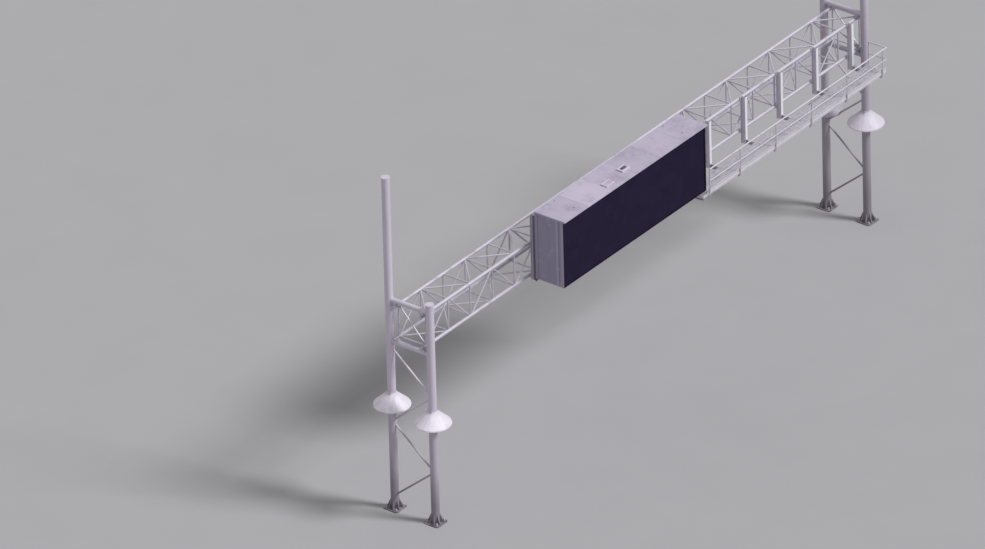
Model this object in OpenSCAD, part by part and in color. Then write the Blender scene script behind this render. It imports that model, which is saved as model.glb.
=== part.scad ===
// Overhead sign gantry: a four-chord box truss carried between two pairs of tube legs,
// with a walk-in sign cabinet and a service catwalk hung on its front face.
// X runs along the span from the near legs to the far legs, -Y is the front, +Z is up.
// The origin is on the ground, in the middle of the whole part's outline.

/* [Span and heights] */
// Distance along the span between the near and the far leg axes
span = 23200; // [22000:100:26000]
// Top of the two short legs
short_leg_top = 8000; // [7850:10:9000]
// Top of the two legs that run on as masts
mast_top = 12100; // [9500:50:14000]
// Height of the top chord axes
top_chord_z = 7500; // [7300:10:7600]

/* [Legs] */
// Outer diameter of a leg tube
leg_d = 273; // [219:1:280]
// Wall of a leg tube
leg_wall = 9.3; // [6:0.1:16]
// Clear space between a leg and the chord beside it
leg_clear = 80; // [5:1:100]
// Thickness of the plate that closes a leg's top
leg_cap_t = 12; // [6:1:25]
// How far the cap plate stands proud of the tube
leg_cap_lip = 8; // [2:1:20]

/* [Leg bases] */
// Side of the square base plate
base_side = 560; // [540:10:700]
// Thickness of the base plate
base_t = 38; // [25:1:60]
// Cut across the corners of the base plate
base_chamfer = 45; // [10:1:60]
// Diameter of the circle of anchor holes
anchor_pcd = 540; // [500:2:560]
// Diameter of an anchor hole
anchor_hole_d = 42; // [30:1:50]
// Number of anchor holes in one base
anchor_count = 4; // [4:4:8]
// Number of gusset plates round a base
gusset_count = 8; // [4:4:8]
// Height of a gusset above its base plate
gusset_h = 280; // [150:10:400]
// Thickness of a gusset
gusset_t = 16; // [8:1:25]
// How far a gusset reaches out from the leg's surface
gusset_reach = 118; // [80:1:125]
// Height of a gusset's outer edge
gusset_toe = 36; // [15:1:60]

/* [Climb guards] */
// Diameter of a guard's rim
guard_d = 1210; // [900:10:1300]
// Height of a guard from its rim to its neck
guard_h = 430; // [300:10:600]
// Sheet of a guard
guard_sheet = 5; // [3:1:10]
// Height of the clamping collar round the leg
guard_collar_h = 55; // [30:5:100]
// Depth of the turned-down rim
guard_rim_h = 28; // [10:1:60]
// Height of three guards' rims
guard_z = 3690; // [3400:10:3750]
// Height of the near rear guard's rim
high_guard_z = 3840; // [3800:10:4100]

/* [Leg bracing] */
// Diameter of the diagonal tubes between the legs
brace_d = 60; // [48:1:90]
// Height where the zigzag leaves the rear leg under the truss
brace_top_z = 5960; // [5900:10:6000]
// Height that each diagonal climbs
brace_rise = 1375; // [1300:5:1400]
// Number of diagonals
brace_count = 4; // [2:1:4]

/* [Cross beams] */
// Diameter of the beams that join a leg pair and hold the truss
beam_d = 168; // [140:1:190]
// Wall of a cross beam
beam_wall = 9; // [6:0.5:16]
// Space between a cross beam and a chord, filled by the saddle
saddle_gap = 30; // [15:1:50]
// Length of a saddle along the chord
saddle_len = 150; // [100:5:180]
// Width of a saddle across the chord
saddle_w = 124; // [100:1:126]

/* [Box truss] */
// Distance between the front and the rear chord axes
truss_w = 1067; // [1000:1:1150]
// Distance between the top and the bottom chord axes
truss_h = 1170; // [1000:1:1200]
// Outer diameter of a chord tube
chord_d = 114.3; // [100:0.1:120]
// Wall of a chord tube
chord_wall = 8.6; // [5:0.1:14]
// Number of panels along the truss
panel_count = 20; // [18:2:22]
// Distance from the near leg axis to the first panel point
near_inset = 130; // [110:5:220]
// How far the last panel point lies past the far leg axis
far_outset = 90; // [60:5:110]
// How far the chords run on past the leg axes
chord_overrun = 145; // [145:5:200]
// Diameter of the lacing bars
lace_d = 54; // [42:1:60]
// Clear space left between two bars where they meet a chord
lace_gap = 15; // [10:1:25]

/* [Sign cabinet] */
// Distance from the near leg axis to the cabinet's near end
cab_start = 5540; // [5000:10:6500]
// Length of the cabinet along the truss
cab_len = 7560; // [7000:10:8200]
// Depth of the cabinet from back to front
cab_depth = 1120; // [1000:10:1300]
// Height of the cabinet
cab_h = 2450; // [2200:10:2600]
// Height of the cabinet's underside
cab_z = 6290; // [6260:10:6420]
// Sheet of the cabinet's walls and floor
cab_sheet = 5; // [3:0.5:10]
// How far the roof sheet stands out past the end walls
roof_lip = 22; // [10:1:40]
// How far the roof stands out over the display as a visor
roof_visor = 80; // [20:5:150]
// Depth of the roof's turned-down edge
roof_edge_h = 55; // [20:1:100]
// Depth of the face frame from front to back
face_depth = 110; // [50:1:120]
// Width of the face frame's narrow members
face_border = 36; // [20:1:80]
// Width of the face frame's far upright
face_end_panel = 60; // [40:5:500]
// How far the display is set back in its frame
display_setback = 14; // [5:1:30]
// Thickness of the display panel
display_t = 16; // [8:1:40]
// Width of an end wall's vertical rib
rib_w = 110; // [15:1:120]
// Distance from the face frame to the rib behind it
rib_gap = 80; // [20:5:200]
// How far a rib stands proud of the end wall
rib_t = 14; // [5:1:20]

/* [Cabinet door] */
// Width of the access door
door_w = 560; // [500:10:700]
// Height of the access door
door_h = 1900; // [1600:10:2000]
// Thickness of the door leaf
door_t = 30; // [15:1:50]
// Height of the door's lower edge above the cabinet floor
door_sill = 60; // [30:5:150]
// Distance from the face frame to the door leaf
door_jamb = 50; // [30:5:120]
// Clear space round the door leaf
door_gap = 5; // [3:1:10]

/* [Hangers] */
// Depth of a hanger beam from back to front
hanger_depth = 190; // [120:1:200]
// Width of a hanger's flanges
hanger_w = 110; // [100:1:150]
// Thickness of a hanger's flanges
hanger_flange = 10; // [6:0.5:16]
// Thickness of a hanger's web
hanger_web = 7; // [5:0.5:12]
// Space between a hanger and a chord, filled by the seat
hanger_seat = 17; // [10:1:40]
// Height of a hanger's seat on the chord
hanger_seat_h = 126; // [90:1:160]
// Number of hangers behind the cabinet
sign_hanger_count = 5; // [4:1:6]
// Number of hangers along the catwalk
walk_hanger_count = 5; // [4:1:6]
// How far the hangers behind the cabinet stop short of its roof
hanger_head_gap = 200; // [10:10:500]
// How far a catwalk hanger rises past the top chord axis
walk_hanger_head = 120; // [80:5:300]
// Distance from the cabinet's near end to its first hanger
near_hanger_inset = 45; // [0:5:300]
// Distance from the cabinet's far end to its last hanger
far_hanger_inset = 165; // [80:5:300]
// Distance from the cabinet's far end to the first catwalk hanger
walk_hanger_start = 1750; // [800:10:2200]
// Distance from the catwalk's far end to its last hanger
walk_hanger_inset = 230; // [80:5:500]

/* [Catwalk] */
// Top of the catwalk floor
walk_z = 6190; // [6150:5:6300]
// Distance from the front chord axis to the catwalk's rear edge
walk_rear = 715; // [600:5:740]
// Distance from the front chord axis to the catwalk's front edge
walk_front = 1420; // [1350:5:1450]
// Distance from the far leg axis to the catwalk's far end
walk_end_gap = 400; // [250:10:500]
// Depth of the floor grating
grate_h = 30; // [20:1:50]
// Number of grating panels
grate_panels = 5; // [4:1:6]
// Number of bearing bars in one grating panel
grate_bars = 17; // [8:1:20]
// Thickness of a bearing bar
grate_bar_t = 8; // [4:0.5:12]
// Height of the channels that carry the grating
stringer_h = 76; // [60:1:100]
// Width of a channel's flanges
stringer_w = 42; // [30:1:60]
// Metal of a channel
stringer_t = 6; // [4:0.5:10]
// Depth of a bracket at the hanger
bracket_root = 150; // [120:5:180]
// Depth of a bracket at its tip
bracket_tip = 70; // [50:5:100]
// Width of a bracket's flanges
bracket_w = 90; // [60:1:120]
// Metal of a bracket
bracket_t = 9; // [6:0.5:16]
// Height of the toe board above the floor
toe_h = 100; // [50:5:150]
// Thickness of the toe board
toe_t = 6; // [4:0.5:10]

/* [Handrail] */
// Height of the top rail's axis above the floor
rail_h = 850; // [800:10:1100]
// Diameter of the top rail
rail_d = 48; // [38:1:60]
// Diameter of the middle rail
mid_rail_d = 34; // [25:1:40]
// Diameter of a post
post_d = 42; // [34:1:46]
// Thickness of a post's foot plate
post_foot_t = 8; // [5:1:12]

/* [Hidden] */
$fn = 64;

// Finishes of the real pieces
GALVANISED = "#bdb9c4";
LEG_GREY = "#a7a2ad";
GUARD_PALE = "#dedbe4";
CABINET_GREY = "#9a95a2";
CABINET_ROOF = "#b8b2c0";
DISPLAY_DARK = "#221e2c";

// Sides of a lacing bar, which is cut from plain stock
LACE_SIDES = 8;
// Extra length that lets a cutting tool pass right through
CUT = 2;
// How deep a welded plate's edge runs into the plate that carries it
WELD = 5;
// Clear space between the lacing bars and a saddle or seat on the same chord
LACE_CLEAR = 6;
// How far a hanger runs on under the last thing that it carries
HANGER_TAIL = 50;
SIGN_HANGER_TAIL = 90;
// Clear space between the grating and the catwalk's edges
GRATE_CLEAR = 4;

// The whole outline across the span, which puts the origin in its middle
leg_spacing = truss_w + chord_d + leg_d + 2 * leg_clear;
rail_reach = walk_front + post_foot_t + post_d / 2 + max(rail_d, post_d) / 2;
sign_reach = hanger_reach() + cab_depth + roof_visor;
guard_reach = leg_spacing / 2 + guard_d / 2;
front_reach = max(guard_reach, truss_w / 2 + max(rail_reach, sign_reach));
truss_y = (front_reach - guard_reach) / 2;

near_x = -span / 2;
far_x = span / 2;
front_leg_y = truss_y - leg_spacing / 2;
rear_leg_y = truss_y + leg_spacing / 2;
front_chord_y = truss_y - truss_w / 2;
rear_chord_y = truss_y + truss_w / 2;
bottom_chord_z = top_chord_z - truss_h;
chord_r = chord_d / 2;
lace_r = lace_d / 2;

// Panel points along the truss
truss_start = near_x + near_inset;
panel = (span - near_inset + far_outset) / panel_count;

// Axes of the cross beams above the top chords and under the bottom chords
top_beam_z = top_chord_z + chord_r + saddle_gap + beam_d / 2;
seat_beam_z = bottom_chord_z - chord_r - saddle_gap - beam_d / 2;

// The cabinet's corners
cab_x0 = near_x + cab_start;
cab_x1 = cab_x0 + cab_len;
cab_back = front_chord_y - hanger_reach();
cab_front = cab_back - cab_depth;
cab_top = cab_z + cab_h;
door_y = cab_front + face_depth + door_jamb + door_w / 2;
door_z = cab_z + cab_sheet + door_sill;

// The catwalk's levels and ends
stringer_top = walk_z - grate_h;
bracket_top = stringer_top - stringer_h;
walk_x0 = cab_x1 + roof_lip;
walk_x1 = far_x - walk_end_gap;
walk_rear_y = front_chord_y - walk_rear;
walk_front_y = front_chord_y - walk_front;
rail_y = walk_front_y - post_foot_t - post_d / 2;
rail_z = walk_z + rail_h;

// Hangers: the sign's stand between its ends, and its last one also carries the catwalk's start
sign_hanger_x0 = cab_x0 + near_hanger_inset;
sign_hanger_x1 = cab_x1 - far_hanger_inset;
walk_hanger_x0 = cab_x1 + walk_hanger_start;
walk_hanger_x1 = walk_x1 - walk_hanger_inset;
sign_pitch = (sign_hanger_x1 - sign_hanger_x0) / (sign_hanger_count - 1);
walk_pitch = (walk_hanger_x1 - walk_hanger_x0) / (walk_hanger_count - 1);
hanger_foot_z = bracket_top - bracket_root - HANGER_TAIL;
sign_hanger_foot_z = bottom_chord_z - hanger_seat_h / 2 - SIGN_HANGER_TAIL;

function hanger_reach() = chord_d / 2 + hanger_seat + hanger_depth;
function panel_x(i) = truss_start + i * panel;
function sign_hanger_x(k) = sign_hanger_x0 + k * sign_pitch;
function walk_hanger_x(k) = walk_hanger_x0 + k * walk_pitch;

// Distance along a chord from a panel point to the place where a diagonal's axis meets the
// chord's axis, so that the bars stay apart on the chord's surface
function diagonal_shift(across) =
    let (slope = atan2(across, panel))
    lace_r + lace_gap + lace_r / sin(slope) - chord_r / tan(slope);

// A straight bar from one point to another
module bar(from, to, d, sides) {
    run = to - from;
    len = norm(run);
    translate(from)
        rotate([0, acos(run[2] / len), atan2(run[1], run[0])])
        cylinder(d = d, h = len, $fn = sides);
}

// A cylinder along X
module rod_x(x0, x1, y, z, d) {
    translate([x0, y, z]) rotate([0, 90, 0]) cylinder(d = d, h = x1 - x0);
}

// A box given by its lowest and its highest corner
module block(low, high) {
    translate(low) cube(high - low);
}

// The space that a leg tube takes up
module leg_space(x, y) {
    translate([x, y, 0]) cylinder(d = leg_d, h = mast_top);
}

// The space that a chord takes up
module chord_space(y, z) {
    rod_x(near_x - chord_overrun - CUT, far_x + chord_overrun + CUT, y, z, chord_d);
}

// One gusset, its foot welded into the base plate and its back against the leg
module gusset() {
    inner = leg_d / 2 - CUT - gusset_t;
    outer = leg_d / 2 + gusset_reach;
    head = leg_d / 2 + gusset_t;
    rotate([90, 0, 0])
        translate([0, 0, -gusset_t / 2])
        linear_extrude(gusset_t)
        polygon([[inner, -WELD], [outer, -WELD], [outer, gusset_toe], [head, gusset_h], [inner, gusset_h]]);
}

// Base plate with its anchor holes and gussets
module base(x, y) {
    half = base_side / 2;
    cut = half - base_chamfer;
    color(LEG_GREY) translate([x, y, 0]) {
        difference() {
            linear_extrude(base_t)
                polygon([
                    [-half, -cut], [-cut, -half], [cut, -half], [half, -cut],
                    [half, cut], [cut, half], [-cut, half], [-half, cut]
                ]);
            for (k = [0 : anchor_count - 1])
                rotate(45 + k * 360 / anchor_count)
                    translate([anchor_pcd / 2, 0, -CUT])
                    cylinder(d = anchor_hole_d, h = base_t + 2 * CUT);
        }
        difference() {
            for (k = [0 : gusset_count - 1])
                rotate((k + 0.5) * 360 / gusset_count)
                    translate([0, 0, base_t])
                    gusset();
            translate([0, 0, base_t - CUT]) cylinder(d = leg_d, h = gusset_h + 2 * CUT);
        }
    }
}

// Leg tube, open on its base plate and closed by a cap plate
module leg(x, y, top) {
    bore = leg_d - 2 * leg_wall;
    color(LEG_GREY) translate([x, y, 0]) {
        difference() {
            translate([0, 0, base_t]) cylinder(d = leg_d, h = top - leg_cap_t - base_t);
            translate([0, 0, base_t - CUT]) cylinder(d = bore, h = top - base_t);
        }
        translate([0, 0, top - leg_cap_t]) cylinder(d = leg_d + 2 * leg_cap_lip, h = leg_cap_t);
    }
}

// Conical climb guard: collar, cone and turned-down rim in one sheet, turned round the leg
module guard(x, y, rim_z) {
    neck = leg_d / 2;
    rim = guard_d / 2;
    thick = guard_sheet;
    bend = thick + 2;
    color(GUARD_PALE) translate([x, y, rim_z]) rotate_extrude()
        polygon([
            [neck, guard_h], [rim - thick, thick], [rim - thick, -guard_rim_h],
            [rim, -guard_rim_h], [rim, bend], [neck + thick, guard_h + thick],
            [neck + thick, guard_h + guard_collar_h], [neck, guard_h + guard_collar_h]
        ]);
}

// Zigzag of tubes between the legs of a pair, its ends shaped to the legs
module leg_braces(x) {
    color(LEG_GREY) difference() {
        for (k = [0 : brace_count - 1]) {
            upper = brace_top_z - k * brace_rise;
            lower = upper - brace_rise;
            y_upper = k % 2 == 0 ? rear_leg_y : front_leg_y;
            y_lower = k % 2 == 0 ? front_leg_y : rear_leg_y;
            bar([x, y_upper, upper], [x, y_lower, lower], brace_d, 48);
        }
        leg_space(x, front_leg_y);
        leg_space(x, rear_leg_y);
    }
}

// Beam between the legs of a pair with two welded saddles; side is 1 where the chords lie
// above the beam and -1 where they lie under it
module cross_beam(x, z, chord_z, side) {
    bore = beam_d - 2 * beam_wall;
    near_chord = chord_z - side * (lace_r + LACE_CLEAR);
    color(LEG_GREY) {
        difference() {
            translate([x, front_leg_y, z]) rotate([-90, 0, 0]) cylinder(d = beam_d, h = leg_spacing);
            translate([x, front_leg_y - CUT, z])
                rotate([-90, 0, 0])
                cylinder(d = bore, h = leg_spacing + 2 * CUT);
            leg_space(x, front_leg_y);
            leg_space(x, rear_leg_y);
        }
        for (y = [front_chord_y, rear_chord_y])
            difference() {
                block(
                    [x - saddle_len / 2, y - saddle_w / 2, min(z, near_chord)],
                    [x + saddle_len / 2, y + saddle_w / 2, max(z, near_chord)]
                );
                translate([x, y - saddle_w, z]) rotate([-90, 0, 0]) cylinder(d = beam_d, h = 2 * saddle_w);
                chord_space(y, chord_z);
            }
    }
}

// Chord tube over the whole length of the truss
module chord(y, z) {
    color(GALVANISED) difference() {
        rod_x(near_x - chord_overrun, far_x + chord_overrun, y, z, chord_d);
        rod_x(near_x - chord_overrun - CUT, far_x + chord_overrun + CUT, y, z, chord_d - 2 * chord_wall);
    }
}

// Welded discs that close the chords' ends
module chord_end_caps() {
    cap_t = 8;
    color(GALVANISED)
        for (y = [front_chord_y, rear_chord_y], z = [bottom_chord_z, top_chord_z]) {
            rod_x(near_x - chord_overrun - cap_t, near_x - chord_overrun, y, z, chord_d);
            rod_x(far_x + chord_overrun, far_x + chord_overrun + cap_t, y, z, chord_d);
        }
}

// Lacing of one face: a strut at each inner panel point and one diagonal in each panel, which
// change direction from panel to panel. start and across are the first chord's place and the
// way to the second chord. Each bar's ends are shaped to both chords.
module lacing(start, across) {
    shift = diagonal_shift(norm(across));
    color(GALVANISED) {
        for (i = [1 : panel_count - 1])
            coped(start, across) bar(
                [panel_x(i), start[0], start[1]],
                [panel_x(i), start[0] + across[0], start[1] + across[1]],
                lace_d, LACE_SIDES
            );
        for (i = [0 : panel_count - 1]) {
            low_x = i % 2 == 0 ? panel_x(i) + shift : panel_x(i + 1) - shift;
            high_x = i % 2 == 0 ? panel_x(i + 1) - shift : panel_x(i) + shift;
            coped(start, across) bar(
                [low_x, start[0], start[1]],
                [high_x, start[0] + across[0], start[1] + across[1]],
                lace_d, LACE_SIDES
            );
        }
    }
}

// Takes two chords' space off the ends of a bar
module coped(start, across) {
    difference() {
        children();
        chord_space(start[0], start[1]);
        chord_space(start[0] + across[0], start[1] + across[1]);
    }
}

// Welded frame across the end of the truss: four struts and one diagonal
module end_frame(x) {
    rear_top = [x, rear_chord_y, top_chord_z];
    rear_bottom = [x, rear_chord_y, bottom_chord_z];
    front_top = [x, front_chord_y, top_chord_z];
    front_bottom = [x, front_chord_y, bottom_chord_z];
    color(GALVANISED) difference() {
        union() {
            bar(front_bottom, front_top, lace_d, LACE_SIDES);
            bar(rear_bottom, rear_top, lace_d, LACE_SIDES);
            bar(front_top, rear_top, lace_d, LACE_SIDES);
            bar(front_bottom, rear_bottom, lace_d, LACE_SIDES);
            bar(front_bottom, rear_top, lace_d, LACE_SIDES);
        }
        for (y = [front_chord_y, rear_chord_y], z = [bottom_chord_z, top_chord_z])
            chord_space(y, z);
    }
}

// Upright beam of I section on the front chords, with a seat at each chord
module hanger(x, foot, head) {
    back = front_chord_y - chord_r - hanger_seat;
    seat_back = front_chord_y - lace_r - LACE_CLEAR;
    color(GALVANISED) {
        block([x - hanger_w / 2, back - hanger_flange, foot], [x + hanger_w / 2, back, head]);
        block(
            [x - hanger_w / 2, back - hanger_depth, foot],
            [x + hanger_w / 2, back - hanger_depth + hanger_flange, head]
        );
        block(
            [x - hanger_web / 2, back - hanger_depth + hanger_flange, foot],
            [x + hanger_web / 2, back - hanger_flange, head]
        );
        for (z = [bottom_chord_z, top_chord_z])
            difference() {
                block(
                    [x - hanger_w / 2, back, z - hanger_seat_h / 2],
                    [x + hanger_w / 2, seat_back, z + hanger_seat_h / 2]
                );
                chord_space(front_chord_y, z);
            }
    }
}

module sign_hangers() {
    head = cab_top - hanger_head_gap;
    for (k = [0 : sign_hanger_count - 2]) hanger(sign_hanger_x(k), sign_hanger_foot_z, head);
    hanger(sign_hanger_x1, hanger_foot_z, head);
}

module catwalk_hangers() {
    for (k = [0 : walk_hanger_count - 1])
        hanger(walk_hanger_x(k), hanger_foot_z, top_chord_z + walk_hanger_head);
}

// Tapered bracket that stands out from a hanger under the catwalk
module bracket(x) {
    root = cab_back;
    length = root - walk_front_y;
    root_plate = 12;
    plate_tail = 30;
    color(GALVANISED) translate([x, root, bracket_top]) {
        block([-bracket_w / 2, -length, -bracket_t], [bracket_w / 2, -root_plate, 0]);
        rotate([90, 0, -90]) {
            translate([0, 0, -bracket_t / 2]) linear_extrude(bracket_t)
                polygon([
                    [root_plate, -bracket_root + bracket_t / 2], [length, -bracket_tip + bracket_t / 2],
                    [length, -bracket_t], [root_plate, -bracket_t]
                ]);
            translate([0, 0, -bracket_w / 2]) linear_extrude(bracket_w)
                polygon([
                    [root_plate, -bracket_root], [length, -bracket_tip],
                    [length, -bracket_tip + bracket_t], [root_plate, -bracket_root + bracket_t]
                ]);
        }
        block([-hanger_w / 2, -root_plate, -bracket_root - plate_tail], [hanger_w / 2, 0, 0]);
    }
}

module catwalk_brackets() {
    bracket(sign_hanger_x1);
    for (k = [0 : walk_hanger_count - 1]) bracket(walk_hanger_x(k));
}

// Channel along the catwalk; face is the side on which its web stands, 1 rear and -1 front
module stringer(y, face) {
    far_edge = y - face * stringer_w;
    web_edge = y - face * stringer_t;
    low = bracket_top;
    high = stringer_top;
    block([stringer_x0(), min(y, web_edge), low], [walk_x1, max(y, web_edge), high]);
    block([stringer_x0(), min(y, far_edge), low], [walk_x1, max(y, far_edge), low + stringer_t]);
    block([stringer_x0(), min(y, far_edge), high - stringer_t], [walk_x1, max(y, far_edge), high]);
}

function stringer_x0() = sign_hanger_x1 - bracket_w / 2;

module catwalk_stringers() {
    middle = (walk_front_y + walk_rear_y) / 2;
    color(GALVANISED) {
        stringer(walk_rear_y, 1);
        stringer(middle + stringer_w / 2, 1);
        stringer(walk_front_y, -1);
        for (x = [stringer_x0(), walk_x1 - stringer_t])
            block([x, walk_front_y, bracket_top], [x + stringer_t, walk_rear_y, stringer_top]);
    }
}

// Floor grating in panels: bearing bars across the catwalk, tied by bars along it
module catwalk_grating() {
    joint = 10;
    tie_count = 4;
    length = (walk_x1 - walk_x0 - (grate_panels - 1) * joint) / grate_panels;
    width = walk_rear_y - walk_front_y - 2 * GRATE_CLEAR;
    bar_step = (length - grate_bar_t) / (grate_bars - 1);
    tie_step = (width - grate_bar_t) / (tie_count - 1);
    color(GALVANISED)
        for (p = [0 : grate_panels - 1])
            translate([walk_x0 + p * (length + joint), walk_front_y + GRATE_CLEAR, stringer_top]) {
                for (i = [0 : grate_bars - 1])
                    translate([i * bar_step, 0, 0]) cube([grate_bar_t, width, grate_h]);
                for (j = [0 : tie_count - 1])
                    translate([0, j * tie_step, 0]) cube([length, grate_bar_t, grate_h]);
            }
}

// Toe board that stands on the grating's front edge
module catwalk_toe_board() {
    front = walk_front_y + GRATE_CLEAR;
    color(GALVANISED)
        block([walk_x0, front, walk_z], [walk_x1, front + toe_t, walk_z + toe_h]);
}

// Post from its foot plate on the front channel up to the top rail
module rail_post(x) {
    foot_h = stringer_h;
    foot_w = 100;
    translate([x, rail_y, bracket_top]) cylinder(d = post_d, h = rail_z - bracket_top);
    block(
        [x - foot_w / 2, walk_front_y - post_foot_t - post_d / 3, bracket_top],
        [x + foot_w / 2, walk_front_y, bracket_top + foot_h]
    );
}

function rail_end_x() = walk_x1 - post_d;
function first_post_x() = walk_x0 + 2 * post_d;

module catwalk_handrail() {
    mid_z = walk_z + rail_h / 2;
    color(GALVANISED) {
        rod_x(first_post_x(), rail_end_x() + rail_d / 2, rail_y, rail_z, rail_d);
        rod_x(first_post_x(), rail_end_x() + mid_rail_d / 2, rail_y, mid_z, mid_rail_d);
        rail_post(first_post_x());
        for (k = [0 : walk_hanger_count - 1]) rail_post(walk_hanger_x(k));
    }
}

// Guard rail across the catwalk's far end, its rails shaped to the handrail's
module catwalk_end_rail() {
    mid_z = walk_z + rail_h / 2;
    rear_y = walk_rear_y - post_d;
    color(GALVANISED) {
        difference() {
            union() {
                bar([rail_end_x(), rail_y, rail_z], [rail_end_x(), rear_y, rail_z], rail_d, 48);
                bar([rail_end_x(), rail_y, mid_z], [rail_end_x(), rear_y, mid_z], mid_rail_d, 48);
            }
            rod_x(rail_end_x() - rail_d, walk_x1, rail_y, rail_z, rail_d);
            rod_x(rail_end_x() - rail_d, walk_x1, rail_y, mid_z, mid_rail_d);
        }
        translate([rail_end_x(), rear_y, walk_z]) cylinder(d = post_d, h = rail_h);
    }
}

// Roof sheet that stands out over the display, its edge turned down at the front and the ends
module sign_roof() {
    color(CABINET_ROOF) difference() {
        block(
            [cab_x0 - roof_lip, cab_front - roof_visor, cab_top - roof_edge_h],
            [cab_x1 + roof_lip, cab_back, cab_top]
        );
        block(
            [cab_x0 - roof_lip + cab_sheet, cab_front - roof_visor + cab_sheet, cab_top - roof_edge_h - CUT],
            [cab_x1 + roof_lip - cab_sheet, cab_back + CUT, cab_top - cab_sheet]
        );
    }
}

module sign_floor() {
    color(CABINET_GREY)
        block([cab_x0, cab_front, cab_z], [cab_x1, cab_back, cab_z + cab_sheet]);
}

module sign_back_wall() {
    color(CABINET_GREY)
        block(
            [cab_x0, cab_back - cab_sheet, cab_z + cab_sheet],
            [cab_x1, cab_back, cab_top - cab_sheet]
        );
}

// Plain sheet of an end wall, from the back wall to the face frame
module end_sheet(x) {
    block(
        [x, cab_front + face_depth, cab_z + cab_sheet],
        [x + cab_sheet, cab_back - cab_sheet, cab_top - cab_sheet]
    );
}

// Vertical rib on the outside of an end wall
module end_rib(x, y) {
    block([x, y, cab_z], [x + rib_t, y + rib_w, cab_top - roof_edge_h - 5]);
}

module sign_near_end_wall() {
    color(CABINET_GREY) {
        end_sheet(cab_x0);
        end_rib(cab_x0 - rib_t, cab_front + face_depth + rib_gap);
        end_rib(cab_x0 - rib_t, cab_back - rib_w);
    }
}

module sign_far_end_wall() {
    color(CABINET_GREY) {
        difference() {
            end_sheet(cab_x1 - cab_sheet);
            block(
                [cab_x1 - cab_sheet - CUT, door_y - door_w / 2 - door_gap, door_z - door_gap],
                [cab_x1 + CUT, door_y + door_w / 2 + door_gap, door_z + door_h + door_gap]
            );
        }
        end_rib(cab_x1, cab_back - rib_w);
    }
}

// Access door, closed flush in its doorway
module sign_access_door() {
    lap = 20;
    color(CABINET_GREY) {
        block(
            [cab_x1 - door_t, door_y - door_w / 2, door_z],
            [cab_x1, door_y + door_w / 2, door_z + door_h]
        );
        block(
            [cab_x1, door_y - door_w / 2 - lap, door_z - lap],
            [cab_x1 + cab_sheet, door_y + door_w / 2 + lap, door_z + door_h + lap]
        );
    }
}

// Frame round the display, its far upright wider than the rest
module sign_face_frame() {
    low = cab_z + cab_sheet;
    high = cab_top - cab_sheet;
    color(DISPLAY_DARK) difference() {
        block([cab_x0, cab_front, low], [cab_x1, cab_front + face_depth, high]);
        block(
            [cab_x0 + face_border, cab_front - CUT, low + face_border],
            [cab_x1 - face_end_panel, cab_front + face_depth + CUT, high - face_border]
        );
    }
}

// Dark display panel inside the face frame
module sign_display() {
    color(DISPLAY_DARK)
        block(
            [cab_x0 + face_border, cab_front + display_setback, cab_z + cab_sheet + face_border],
            [
                cab_x1 - face_end_panel,
                cab_front + display_setback + display_t,
                cab_top - cab_sheet - face_border
            ]
        );
}

base(near_x, front_leg_y);  // near_front_base
base(near_x, rear_leg_y);  // near_rear_base
base(far_x, front_leg_y);  // far_front_base
base(far_x, rear_leg_y);  // far_rear_base
leg(near_x, front_leg_y, short_leg_top);  // near_front_leg
leg(near_x, rear_leg_y, mast_top);  // near_rear_leg
leg(far_x, front_leg_y, mast_top);  // far_front_leg
leg(far_x, rear_leg_y, short_leg_top);  // far_rear_leg
guard(near_x, front_leg_y, guard_z);  // near_front_guard
guard(near_x, rear_leg_y, high_guard_z);  // near_rear_guard
guard(far_x, front_leg_y, guard_z);  // far_front_guard
guard(far_x, rear_leg_y, guard_z);  // far_rear_guard
leg_braces(near_x);  // near_leg_braces
leg_braces(far_x);  // far_leg_braces
cross_beam(near_x, seat_beam_z, bottom_chord_z, 1);  // near_seat_beam
cross_beam(near_x, top_beam_z, top_chord_z, -1);  // near_top_beam
cross_beam(far_x, seat_beam_z, bottom_chord_z, 1);  // far_seat_beam
cross_beam(far_x, top_beam_z, top_chord_z, -1);  // far_top_beam
chord(front_chord_y, top_chord_z);  // front_top_chord
chord(front_chord_y, bottom_chord_z);  // front_bottom_chord
chord(rear_chord_y, top_chord_z);  // rear_top_chord
chord(rear_chord_y, bottom_chord_z);  // rear_bottom_chord
chord_end_caps();
lacing([front_chord_y, bottom_chord_z], [0, truss_h]);  // front_lacing
lacing([rear_chord_y, bottom_chord_z], [0, truss_h]);  // rear_lacing
lacing([front_chord_y, top_chord_z], [truss_w, 0]);  // top_lacing
lacing([rear_chord_y, bottom_chord_z], [-truss_w, 0]);  // bottom_lacing
end_frame(truss_start);  // near_end_frame
end_frame(panel_x(panel_count));  // far_end_frame
sign_hangers();
catwalk_hangers();
catwalk_brackets();
catwalk_stringers();
catwalk_grating();
catwalk_toe_board();
catwalk_handrail();
catwalk_end_rail();
sign_roof();
sign_floor();
sign_back_wall();
sign_near_end_wall();
sign_far_end_wall();
sign_access_door();
sign_face_frame();
sign_display();
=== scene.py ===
"""Looks of the overhead sign gantry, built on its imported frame.

Lengths are in metres. X runs along the span from the near legs to the far legs, -Y is the
front with the sign and the catwalk, and +Z is up.
"""

import math

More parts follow.
